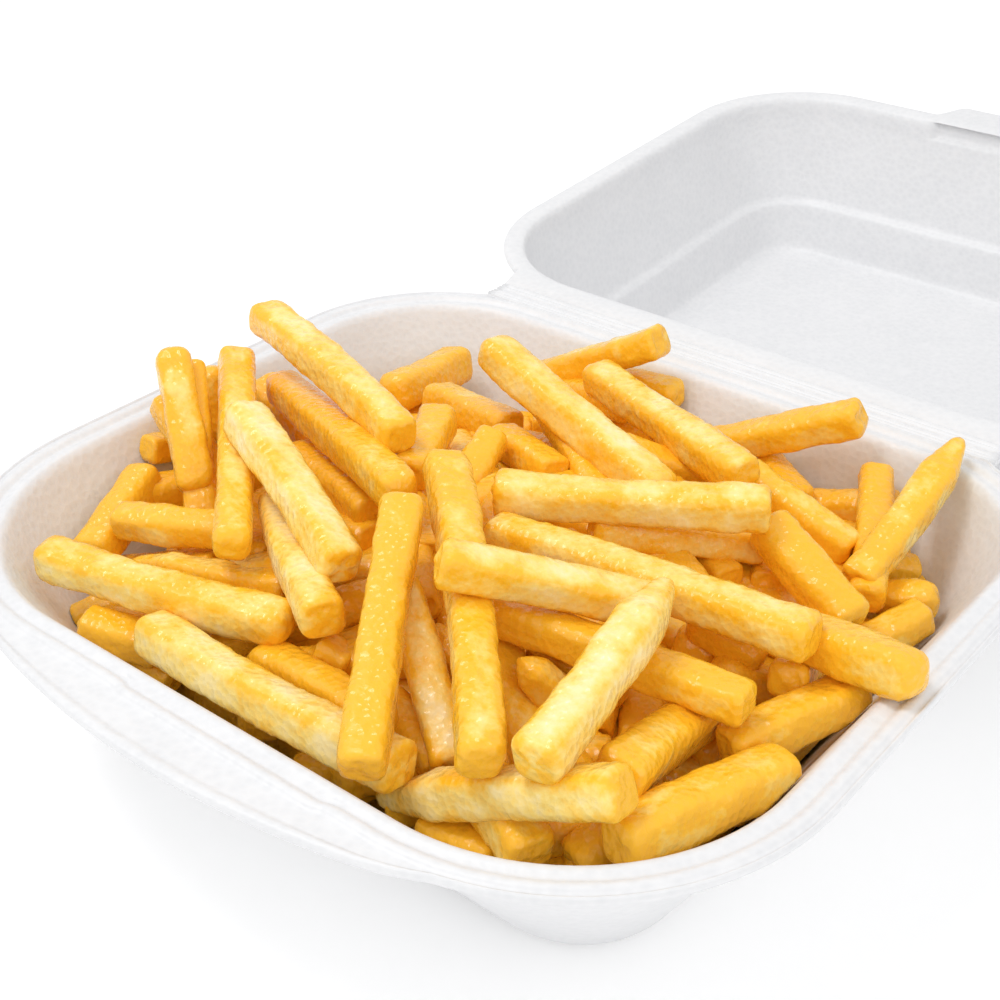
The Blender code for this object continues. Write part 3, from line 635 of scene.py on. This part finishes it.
def hidden_fries(rng):
    """Fries under the ones that show, one in each cell of a grid, on the mound."""
    rows = []
    for column in range(GRID_X):
        for row in range(GRID_Y):
            x = OPEN_X * (2 * (column + rng.uniform(0.2, 0.8)) / GRID_X - 1)
            y = OPEN_Y * (2 * (row + rng.uniform(0.2, 0.8)) / GRID_Y - 1)
            turn = rng.uniform(0, math.pi)
            step = np.array((math.cos(turn), math.sin(turn)))
            reach = rng.uniform(20, 31)
            middle = np.array((x, y)) * (1 - 0.2 * max(abs(x) / OPEN_X, abs(y) / OPEN_Y))
            ends = [middle - reach * step, middle + reach * step]
            ends = [end * min(1.0, inside_share(end)) for end in ends]
            lift = rng.uniform(-4.5, 0.5)
            low, high = [np.array((*end, float(hidden_top(*end)) + lift)) for end in ends]
            rows.append((low, high, rng.uniform(8.4, 10.4)))
    return rows


def inside_share(point):
    """How much of its way from the middle a point can be moved out and stay in the tray."""
    share = 1.0
    while outside_wall(share * point[0], share * point[1], 10.0) > -5.5:
        share -= 0.02
    return share


def lay_out():
    """Starting ends, ways to move, half thickness and kind of every fry."""
    rng = random.Random(SEED)
    rows = []
    for x0, y0, x1, y1, thickness, low, high, kind, _ in FRIES:
        start, start_way = end_on_mound(x0, y0, low * LEVEL)
        stop, stop_way = end_on_mound(x1, y1, high * LEVEL)
        rows.append(((start, stop), (start_way, stop_way), thickness / 2, kind))
    upright = np.array((0.0, 0.0, 1.0))
    for start, stop, thickness in hidden_fries(rng):
        rows.append(((start, stop), (upright, upright), thickness / 2, "hidden"))
    ends, ways, half, kinds = zip(*rows)
    return np.array(ends), np.array(ways), np.array(half), kinds


def keep_clear(ends, ways, half, kinds):
    """Move each fry along its ways until its ends and middle are clear of the tray."""
    for index, kind in enumerate(kinds):
        over_rim = kind in OVER_KINDS
        for end in (0, 1):
            sunk = float(core_top(*ends[index, end, :2])) + REST - ends[index, end, 2]
            if sunk > 0 and kind != "hidden":
                ends[index, end] += sunk / ways[index, end, 2] * ways[index, end]
            if not clear_of_tray(ends[index, end], half[index], over_rim):
                ends[index, end] += shift_clear(ends[index, end], ways[index, end],
                                                half[index], over_rim)
        middle = ends[index].mean(0)
        if not clear_of_tray(middle, half[index] - 0.3, over_rim):
            ends[index] += shift_clear(middle, ways[index].mean(0), half[index] - 0.3, over_rim)


def push_apart(ends, ways, half, kinds):
    """Move crossing fries apart, each along its own ways, the hidden ones most."""
    shown = np.array([kind != "hidden" for kind in kinds])
    first, second, s, t, apart = every_pair(ends)
    distance = np.linalg.norm(apart, axis=1)
    needed = half[first] + half[second] - SINK
    moves = np.zeros((len(ends), 2))
    hits = np.full((len(ends), 2), 1e-9)
    for pair in np.nonzero((distance < needed) & (shown[first] | shown[second]))[0]:
        i, j = first[pair], second[pair]
        way = ways[i].mean(0) if shown[i] else ways[j].mean(0)
        along = apart[pair] @ way / max(distance[pair], 1e-6)
        push = (needed[pair] - distance[pair]) / max(abs(along), 0.5)
        sign = 1.0 if along >= 0 else -1.0
        shares = (0.5, 0.5)
        if shown[i] and not shown[j]:
            sign = 1.0
            shares = (0.4, 0.6)
        for fry, part, move in ((i, s[pair], sign * shares[0]), (j, t[pair], -sign * shares[1])):
            weights = np.array((1 - part, part))
            moves[fry] += np.clip(move * push * weights / (weights @ weights), -3, 3)
            hits[fry] += weights
    ends += 0.7 * (moves / np.sqrt(np.maximum(hits, 1.0)))[:, :, None] * ways


def prop_under(pair, size, rng):
    """One fry laid under another, turned a little, and moved in where it meets the wall."""
    thickness = rng.uniform(8.6, 10.0)
    middle = pair.mean(0) - (0.0, 0.0, size + thickness / 2 - PROP_SINK)
    way = Vector(pair[1] - pair[0]).normalized()
    way.rotate(Matrix.Rotation(rng.uniform(-0.5, 0.5), 3, "Z"))
    reach = np.array((-24.0, 24.0))[:, None] * np.array(way)
    while (np.hypot(*middle[:2]) > 20
           and not clear_of_tray(middle + reach, thickness / 2, False).all()):
        middle = middle * (0.97, 0.97, 1.0)
        reach = reach * (1.0, 1.0, 0.8)
    return middle + reach, thickness


def settled_fries():
    """Ends, thickness and kind of every fry, resting on each other inside the tray."""
    ends, ways, half, kinds = lay_out()
    shown = np.array([kind != "hidden" for kind in kinds])
    heights = ends[:, :, 2].copy()
    for step in range(SETTLE_ROUNDS):
        weight = WEIGHT if step < 0.8 * SETTLE_ROUNDS else 0.0
        ends[shown] -= weight * ways[shown]
        ends[~shown, :, 2] += np.clip(heights[~shown] - ends[~shown, :, 2], 0.0, LIFT)
        keep_clear(ends, ways, half, kinds)
        push_apart(ends, ways, half, kinds)
    keep_clear(ends, ways, half, kinds)
    fries = []
    for index, kind in enumerate(kinds):
        over_rim = kind in OVER_KINDS
        if all(clear_of_tray(ends[index, end], half[index] - 2.0, over_rim) for end in (0, 1)):
            # A hidden fry takes the deeper tone of the fries underneath, painted shade
            tone = FRIES[index][-1] if index < len(FRIES) else UNDERNEATH_SHADE_TONE
            fries.append((ends[index, 0], ends[index, 1], 2 * half[index], kind, tone))
    return fries


def fry_frame(start, stop, turn):
    """Unit vectors across a fry and through its top face, up where the fry lies flat."""
    along = (stop - start) / np.linalg.norm(stop - start)
    top = np.array((0.0, 0.0, 1.0)) if abs(along[2]) < 0.75 else BACK
    across = np.cross(top, along)
    across /= np.linalg.norm(across)
    top = np.cross(along, across)
    cos, sin = math.cos(turn), math.sin(turn)
    return cos * across + sin * top, cos * top - sin * across


def pressed_in(point, kind):
    """The point, moved off the tray's wall, rim and floor where it would cross them."""
    x, y, z = point
    z = max(z, FLOOR_Z + 0.5)
    if kind in OVER_KINDS and outside_wall(x, y, 0.0) > -2.5:
        return x, y, max(z, RIM_TOP + 0.4)
    inset = float(np.interp(z, WALL_HEIGHTS, WALL_INSETS))
    beyond = float(outside_wall(x, y, inset)) + 0.6
    eased = beyond + math.log1p(math.exp(-beyond)) if beyond > -4.0 else 0.0
    for move in (eased, 0.0, 0.0):
        beyond = float(outside_wall(x, y, inset)) + 0.6
        move = max(move, beyond, 0.0)
        x, y = np.array((x, y)) * (1 - move / math.hypot(x, y))
    return x, y, z


def fry_rings(start, stop, thickness, kind, turn):
    """Cross-sections of one fry: square ones for a hidden fry, bevelled ones else."""
    across, top = fry_frame(start, stop, turn)
    half = thickness / 2
    if kind == "hidden":
        corners = ((-1, -1), (1, -1), (1, 1), (-1, 1))
    else:
        corners = ((-BEVEL, -1), (BEVEL, -1), (1, -BEVEL), (1, BEVEL),
                   (BEVEL, 1), (-BEVEL, 1), (-1, BEVEL), (-1, -BEVEL))
    rings = []
    for part, size in ENDS_BY_KIND[kind]:
        centre = start + part * (stop - start)
        ring = [centre + half * size * (u * across + v * top) for u, v in corners]
        rings.append([pressed_in(point, kind) for point in ring])
    return rings


def surface(rings):
    """Search tree over the surface of a loft, to find what it touches."""
    count = len(rings[0])
    points = [tuple(point) for ring in rings for point in ring]
    sides = [(row + index, row + (index + 1) % count,
              row + count + (index + 1) % count, row + count + index)
             for row in range(0, len(points) - count, count) for index in range(count)]
    ends = [tuple(range(count)), tuple(range(len(points) - count, len(points)))]
    return BVHTree.FromPolygons(points, sides + ends)


def touching(tree, others):
    """Places in the list of the surfaces that this one meets."""
    return {index for index, other in enumerate(others) if tree.overlap(other)}


def held_up(links):
    """The pieces that the first one, the core, holds up directly or through others."""
    held, waiting = {0}, [0]
    while waiting:
        for other in links[waiting.pop()] - held:
            held.add(other)
            waiting.append(other)
    return held


def add_props(fries, lofts, rng):
    """Lay fries under shown ones that hang loose, until something holds each of them up."""
    trees = [surface(rings) for rings in lofts]
    links = [touching(tree, trees) for tree in trees]
    needs = {index for index in range(1, len(lofts)) if fries[index - 1][3] != "hidden"}
    for _ in range(MOST_PROPS):
        loose = needs - held_up(links)
        if not loose:
            break
        lowest = min(sorted(loose),
                     key=lambda index: fries[index - 1][0][2] + fries[index - 1][1][2])
        start, stop, thickness = fries[lowest - 1][:3]
        pair, thickness = prop_under(np.array((start, stop)), thickness / 2, rng)
        fries.append((pair[0], pair[1], thickness, "hidden"))
        lofts.append(fry_rings(*fries[-1], 0.0))
        trees.append(surface(lofts[-1]))
        links.append(touching(trees[-1], trees))
        for other in links[-1]:
            links[other].add(len(trees) - 1)
        needs.discard(lowest)
        needs.add(len(trees) - 1)


def core_rings():
    """The heap's inside: the tray's own form, domed on top under the fries that show."""
    heights = (FLOOR_Z + 0.4, 6.0, MOUND_EDGE - CORE_DEPTH - 4.0)
    rings = []
    for height in heights:
        inset = float(np.interp(height, WALL_HEIGHTS, WALL_INSETS)) + 1.2
        ring = tray_outline(-inset, CORE_STEPS)
        rings.append([(x, y, height) for x, y in ring[::CORE_STRIDE]])
    rim = rings[-1]
    for scale in (0.9, 0.66, 0.4, 0.14):
        rings.append([(x * scale, y * scale, float(core_top(x * scale, y * scale)))
                      for x, y, _ in rim])
    return rings


# Fries at full detail


def ripples(points, wavelength, rng):
    """Smooth noise of about unit size at points, made from waves in every direction."""
    total = np.zeros(len(points))
    for _ in range(RIPPLE_WAVES):
        way = rng.normal(size=3)
        way *= 2 * math.pi / (wavelength * rng.uniform(0.7, 1.5) * np.linalg.norm(way))
        total += np.sin(points @ way + rng.uniform(0, 2 * math.pi))
    return total / math.sqrt(RIPPLE_WAVES / 2)


def stations_along(length, half, kind, step):
    """Distances along a fry and the size of its section there, its end faces included."""
    first, last = (half * share for share in END_ROUNDING[kind])
    arc = np.radians(np.linspace(0, 90, 6))
    body = np.linspace(first, length - last, max(6, int((length - first - last) / step)))
    at = np.concatenate(([0.0, 0.0], first * (1 - np.cos(arc)), body[1:-1],
                         length - last * (1 - np.cos(arc[::-1])), [length, length]))
    low, high = 1 - first / half, 1 - last / half
    size = np.concatenate(([0.3 * low, 0.75 * low], 1 - first / half * (1 - np.sin(arc)),
                           np.ones(len(body) - 2), 1 - last / half * (1 - np.sin(arc[::-1])),
                           [0.75 * high, 0.3 * high]))
    if kind in TAPERED:
        size *= np.interp(at / length, (0.0, 0.08, 0.26, 1.0), (0.34, 0.55, 0.97, 1.0))
    return at, size


def section_round(sides):
    """Angles round a fry, and its cross-section there: a soft square of half size 1."""
    angle = np.linspace(0, 2 * math.pi, sides, endpoint=False) + math.pi / sides
    cos, sin = np.cos(angle), np.sin(angle)
    radius = (np.abs(cos) ** SQUARENESS + np.abs(sin) ** SQUARENESS) ** (-1 / SQUARENESS)
    return angle, radius * cos, radius * sin


def bumpy_bar(at, size, angle, section, half, rng):
    """Points of a fry that lies along its own first axis: wavy, bent and blistered."""
    sides, length = len(angle), at[-1]
    along = at / length
    wave = rng.uniform(0, 2 * math.pi, 4)
    wide = 1 + 0.045 * np.sin(rng.uniform(4, 8) * along + wave[0])
    high = 0.97 + 0.045 * np.sin(rng.uniform(4, 8) * along + wave[1])
    bend = rng.uniform(-1, 1, 2) * np.array((0.018, 0.01)) * length
    bow = 4 * along * (1 - along) - 0.6
    flat = np.stack([
        np.repeat(at, sides),
        (half * (size * wide)[:, None] * section[0]).ravel(),
        (half * (size * high)[:, None] * section[1]).ravel(),
    ], -1)
    bumps = (0.12 * ripples(flat, 8.0, rng) + 0.05 * ripples(flat, 2.8, rng)
             + 0.06 * np.abs(ripples(flat, 1.5, rng)))
    outward = np.stack([np.zeros(len(flat)), np.tile(np.cos(angle), len(at)),
                        np.tile(np.sin(angle), len(at))], -1)
    flat += (bumps - 0.12)[:, None] * outward * np.repeat(np.minimum(size, 1), sides)[:, None]
    at_end = np.repeat((along < 1e-6) | (along > 1 - 1e-6), sides)
    flat[:, 0] += at_end * 0.22 * ripples(flat, 4.0, rng)
    flat[:, 1] += np.repeat(bend[0] * bow, sides)
    flat[:, 2] += np.repeat(bend[1] * bow, sides)
    return flat


def skin_values(flat, length, angle, section, tone, rng):
    """For each point: how deep its colour is, how near an edge and how near a tip it lies."""
    count = len(flat) // len(angle)
    across, up = np.abs(section)
    corner = np.minimum(across, up) / np.maximum(across, up)
    edge = np.tile(np.clip((corner - 0.35) / 0.6, 0, 1), count)
    from_end = np.minimum(flat[:, 0], length - flat[:, 0])
    tip = np.exp(-np.maximum(from_end, 0) / 2.2)
    face = (np.floor((angle + math.pi / 4) / (math.pi / 2)) % 4).astype(int)
    side_tone = rng.uniform(-0.13, 0.13, 4)[face]
    depth = tone + np.tile(side_tone, count) + 0.10 * ripples(flat, 14.0, rng)
    return np.clip(depth, 0, 1), edge, tip


def fine_fry(start, stop, thickness, kind, turn, tone, rng):
    """Points, faces and colour values of one fry with bumpy, blistered skin."""
    hidden = kind == "hidden"
    sides, step = (HIDDEN_SIDES, HIDDEN_SKIN_STEP) if hidden else (FRY_SIDES, SKIN_STEP)
    across, top = fry_frame(start, stop, turn)
    length, half = float(np.linalg.norm(stop - start)), thickness / 2
    way = (stop - start) / length
    at, size = stations_along(length, half, kind, step)
    angle, *section = section_round(sides)
    flat = bumpy_bar(at, size, angle, section, half, rng)
    points = start + flat[:, :1] * way + flat[:, 1:2] * across + flat[:, 2:] * top
    points = press_all_in(points, kind)
    points[:, 2] = np.minimum(points[:, 2], CAD_BOX[1][2] / MM - 0.02)
    values = skin_values(flat, length, angle, section, tone, rng)
    return points, ring_faces(len(at), sides), values


def press_all_in(points, kind):
    """Every point, moved off the tray's wall, rim and floor where it would cross them."""
    points[:, 2] = np.maximum(points[:, 2], FLOOR_Z + 0.5)
    if kind in OVER_KINDS:
        over = outside_wall(points[:, 0], points[:, 1], 0.0) > -2.5
        points[over, 2] = np.maximum(points[over, 2], RIM_TOP + 0.3)
    else:
        over = np.zeros(len(points), bool)
    for _ in range(3):
        inset = np.interp(points[:, 2], WALL_HEIGHTS, WALL_INSETS)
        beyond = outside_wall(points[:, 0], points[:, 1], inset) + 0.45
        beyond[over] = 0.0
        scale = 1 - np.maximum(beyond, 0) / np.maximum(np.hypot(points[:, 0], points[:, 1]), 1.0)
        points[:, :2] *= scale[:, None]
    return points


def keep_values(piece, values):
    """Keep the numbers that a fry's colour is worked out from on the points of its mesh."""
    for label, numbers in values.items():
        layer = piece.data.attributes.new(label, "FLOAT", "POINT")
        layer.data.foreach_set("value", numbers.astype(np.float32))


def joined_fries(name, fries, mat, rng):
    """One mesh for several fries."""
    points, faces, values = [], [], []
    first = 0
    for fry in fries:
        fry_points, fry_faces, fry_values = fine_fry(*fry, rng)
        points.append(fry_points)
        faces += [tuple(first + index for index in face) for face in fry_faces]
        first += len(fry_points)
        values.append(fry_values)
    piece = mesh_piece(name, np.concatenate(points), faces, mat)
    joined = [np.concatenate(numbers) for numbers in zip(*values)]
    keep_values(piece, dict(zip(("depth", "edge", "tip"), joined)))
    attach(piece, "base")
    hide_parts("fries")


def make_core(mat):
    """The unseen middle of the heap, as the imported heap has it."""
    piece = shell("fries_core", core_rings(), mat)
    count = len(piece.data.vertices)
    # The core is given the deepest colour of all: painted shade where it shows between the fries
    keep_values(piece, {"depth": np.full(count, 1.0), "edge": np.full(count, 0.6),
                        "tip": np.full(count, 0.0)})
    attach(piece, "base")
    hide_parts("fries")


def bedded_fries(rng):
    """Fries that lie all over the core's dome, some higher than others."""
    rows = []
    for x in BED_X:
        for y in BED_Y:
            middle = rng.uniform(-4, 4, 2) + (x, y)
            angle = rng.uniform(0, math.pi)
            reach = rng.uniform(19, 28) * np.array((math.cos(angle), math.sin(angle)))
            lift = rng.uniform(-1.5, 4.0)
            ends = [np.array((*end, float(core_top(*end)) + lift + rng.uniform(-1, 1)))
                    for end in (middle - reach, middle + reach)]
            # Their colour is the deeper tone of the fries underneath, painted shade, varied a little
            # at random
            rows.append((*ends, rng.uniform(8.0, 9.6), "hidden", rng.uniform(-0.2, 0.2),
                         UNDERNEATH_SHADE_TONE + rng.uniform(-0.3, 0.05)))
    return rows


def make_heap(mat):
    """Every fry of the heap, in pieces that each stay well under 200,000 triangles.

    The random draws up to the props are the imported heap's own, so that both heaps agree.
    """
    draw = random.Random(SEED + 1)
    fries = settled_fries()
    turns = [math.radians(draw.uniform(-14, 14)) for _ in fries]
    lofts = [core_rings()]
    lofts += [fry_rings(*fry[:4], turn) for fry, turn in zip(fries, turns)]
    add_props(fries, lofts, draw)
    turns += [0.0] * (len(fries) - len(turns))
    rng = np.random.default_rng(SEED)
    shown, hidden = [], []
    for fry, turn in zip(fries, turns):
        tone = fry[4] if len(fry) > 4 else UNDERNEATH_SHADE_TONE
        row = (*fry[:4], turn, tone)
        (hidden if fry[3] == "hidden" else shown).append(row)
    half = len(shown) // 2
    joined_fries("fries_first_half", shown[:half], mat, rng)
    joined_fries("fries_second_half", shown[half:], mat, rng)
    joined_fries("fries_underneath", hidden, mat, rng)
    joined_fries("fries_on_core", bedded_fries(rng), mat, rng)
    make_core(mat)


# Materials, and the stage


class Skin:
    """A material, and the patterns that its colour, gloss and bumps are made from."""

    def __init__(self, name):
        self.mat = bpy.data.materials.new(name)
        self.mat.use_nodes = True
        self.nodes = self.mat.node_tree.nodes
        self.links = self.mat.node_tree.links
        self.shader = self.nodes["Principled BSDF"].inputs
        self.coords = self.nodes.new("ShaderNodeTexCoord").outputs["Object"]

    def noise(self, scale, detail, roughness=0.5):
        """Noise over the piece's own coordinates."""
        node = self.nodes.new("ShaderNodeTexNoise")
        node.inputs["Scale"].default_value = scale
        node.inputs["Detail"].default_value = detail
        node.inputs["Roughness"].default_value = roughness
        self.links.new(self.coords, node.inputs["Vector"])
        return node.outputs["Fac"]

    def cells(self, scale):
        """A cell pattern, 0 in the middle of each cell."""
        node = self.nodes.new("ShaderNodeTexVoronoi")
        node.inputs["Scale"].default_value = scale
        self.links.new(self.coords, node.inputs["Vector"])
        return node.outputs["Distance"]

    def kept(self, label):
        """A value that the mesh keeps on its points."""
        node = self.nodes.new("ShaderNodeAttribute")
        node.attribute_name = label
        return node.outputs["Fac"]

    def sum_of(self, terms, clamp=False):
        """Weighted sum of (socket, weight) pairs, kept within 0 to 1 by clamp."""
        total = None
        for place, (socket, weight) in enumerate(terms, 1):
            node = self.nodes.new("ShaderNodeMath")
            node.operation = "MULTIPLY_ADD"
            node.use_clamp = clamp and place == len(terms)
            self.links.new(socket, node.inputs[0])
            node.inputs[1].default_value = weight
            if total is None:
                node.inputs[2].default_value = 0.0
            else:
                self.links.new(total, node.inputs[2])
            total = node.outputs["Value"]
        return total

    def less(self, value, amount):
        """The value with a constant taken off."""
        node = self.nodes.new("ShaderNodeMath")
        node.operation = "SUBTRACT"
        node.inputs[1].default_value = amount
        self.links.new(value, node.inputs[0])
        return node.outputs["Value"]

    def ramp(self, value, stops):
        """The colour that value picks from stops of (position, colour)."""
        node = self.nodes.new("ShaderNodeValToRGB")
        elements = node.color_ramp.elements
        while len(elements) < len(stops):
            elements.new(0.5)
        for element, (position, colour) in zip(elements, stops):
            element.position = position
            element.color = (*colour, 1.0)
        self.links.new(value, node.inputs["Fac"])
        return node.outputs["Color"]

    def bump(self, height, strength, distance, below=None):
        """Normal of a bump, over another bump's normal where one is given."""
        node = self.nodes.new("ShaderNodeBump")
        node.inputs["Strength"].default_value = strength
        node.inputs["Distance"].default_value = distance
        self.links.new(height, node.inputs["Height"])
        if below is not None:
            self.links.new(below, node.inputs["Normal"])
        return node.outputs["Normal"]


def foam_material():
    """White expanded foam: fine pressed beads, a pearly sheen, faint cloudiness."""
    skin = Skin("white foam")
    beads = skin.cells(BEAD_SCALE)
    grain = skin.noise(GRAIN_SCALE, 3.0)
    clouds = skin.noise(CLOUD_SCALE, 4.0)
    tint = skin.sum_of([(clouds, 0.6), (beads, 0.5)], clamp=True)
    skin.links.new(skin.ramp(tint, FOAM_COLOURS), skin.shader["Base Color"])
    relief = skin.sum_of([(beads, 0.35), (grain, 0.35)])
    gloss = skin.ramp(relief, [(0.1, (0.30,) * 3), (0.5, (0.52,) * 3)])
    skin.links.new(gloss, skin.shader["Roughness"])
    pressed = skin.bump(beads, 0.22, 0.0005)
    skin.links.new(skin.bump(grain, 0.12, 0.0003, pressed), skin.shader["Normal"])
    skin.shader["Specular IOR Level"].default_value = 0.45
    return skin.mat


def fry_material():
    """Crisp fried potato: blistered oily skin, deeper along edges and at the ends."""
    skin = Skin("fried potato")
    blisters = skin.cells(BLISTER_SCALE)
    wrinkles = skin.noise(WRINKLE_SCALE, 3.0, 0.6)
    patches = skin.noise(PATCH_SCALE, 4.0, 0.65)
    broad = skin.noise(BROAD_SCALE, 2.0)
    # The kept depth holds each fry's tone, which is painted shade in part: deeper on the low and
    # hidden fries and on the core
    deep = skin.sum_of([
        (skin.kept("depth"), 0.74), (skin.kept("edge"), 0.24), (skin.kept("tip"), 0.24),
        (patches, 0.80), (broad, 0.25), (wrinkles, 0.20), (blisters, -0.10),
    ], clamp=True)
    colour = skin.ramp(skin.less(deep, COLOUR_SHIFT), FRY_COLOURS)
    skin.links.new(colour, skin.shader["Base Color"])
    gloss = skin.ramp(wrinkles, [(0.35, (0.22,) * 3), (0.65, (0.45,) * 3)])
    skin.links.new(gloss, skin.shader["Roughness"])
    blistered = skin.bump(blisters, 0.22, 0.0008)
    skin.links.new(skin.bump(wrinkles, 0.22, 0.0008, blistered), skin.shader["Normal"])
    skin.shader["Specular IOR Level"].default_value = 0.3
    skin.links.new(skin.bump(blisters, 0.6, 0.0012), skin.shader["Coat Normal"])
    skin.shader["Coat Weight"].default_value = 0.55
    skin.shader["Coat Roughness"].default_value = 0.16
    return skin.mat


def table_material():
    """Matt white that glows a little, so that the floor stays pale."""
    mat = bpy.data.materials.new("table")
    mat.use_nodes = True
    shader = mat.node_tree.nodes["Principled BSDF"].inputs
    shader["Base Color"].default_value = (0.9, 0.9, 0.9, 1.0)
    shader["Roughness"].default_value = 0.9
    shader["Emission Color"].default_value = (1.0, 1.0, 1.0, 1.0)
    shader["Emission Strength"].default_value = TABLE_GLOW
    return mat


def make_table():
    half = TABLE_SIZE / 2
    data = bpy.data.meshes.new("table")
    corners = [(-half, -half, 0.0), (half, -half, 0.0), (half, half, 0.0), (-half, half, 0.0)]
    data.from_pydata(corners, [], [(0, 1, 2, 3)])
    data.materials.append(table_material())
    obj = bpy.data.objects.new("table", data)
    bpy.context.collection.objects.link(obj)


def area_light(name, place, power, size):
    """A square soft light that faces the middle of the heap."""
    data = bpy.data.lights.new(name, "AREA")
    data.energy = power
    data.size = size
    obj = bpy.data.objects.new(name, data)
    target = Vector(LIGHT_TARGET)
    obj.location = place
    obj.rotation_mode = "QUATERNION"
    obj.rotation_quaternion = (target - obj.location).to_track_quat("-Z", "Y")
    bpy.context.collection.objects.link(obj)


def make_light():
    """Even light from all round, a key from above on the left and a fill from the right."""
    world = bpy.data.worlds.new("studio")
    world.use_nodes = True
    background = world.node_tree.nodes["Background"]
    background.inputs["Color"].default_value = (1.0, 1.0, 1.0, 1.0)
    background.inputs["Strength"].default_value = WORLD_LIGHT
    bpy.context.scene.world = world
    area_light("key", KEY_PLACE, KEY_POWER, KEY_SIZE)
    area_light("fill", FILL_PLACE, FILL_POWER, FILL_SIZE)
    bpy.context.scene.view_settings.view_transform = "Standard"


def make_camera():
    """The camera stands where the picture's eye was."""
    data = bpy.data.cameras.new("camera")
    data.sensor_width = SENSOR
    data.lens = PICTURE_FOCUS * SENSOR / (2 * PICTURE_CENTRE)
    data.clip_start = 0.01
    obj = bpy.data.objects.new("camera", data)
    place = EYE * MM
    rows = [(RIGHT[axis], UP[axis], BACK[axis], place[axis]) for axis in range(3)]
    obj.matrix_world = Matrix((*rows, (0.0, 0.0, 0.0, 1.0)))
    bpy.context.collection.objects.link(obj)
    bpy.context.scene.camera = obj


def dress(piece, body, node):
    """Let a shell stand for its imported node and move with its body."""
    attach(piece, body)
    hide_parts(node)


foam = foam_material()
dress(make_tray(foam), "base", "tray")
dress(make_lid(foam), "lid", "lid")
strip = make_hinge_strip(foam)
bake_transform(strip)
make_heap(fry_material())
make_table()
make_light()
make_camera()
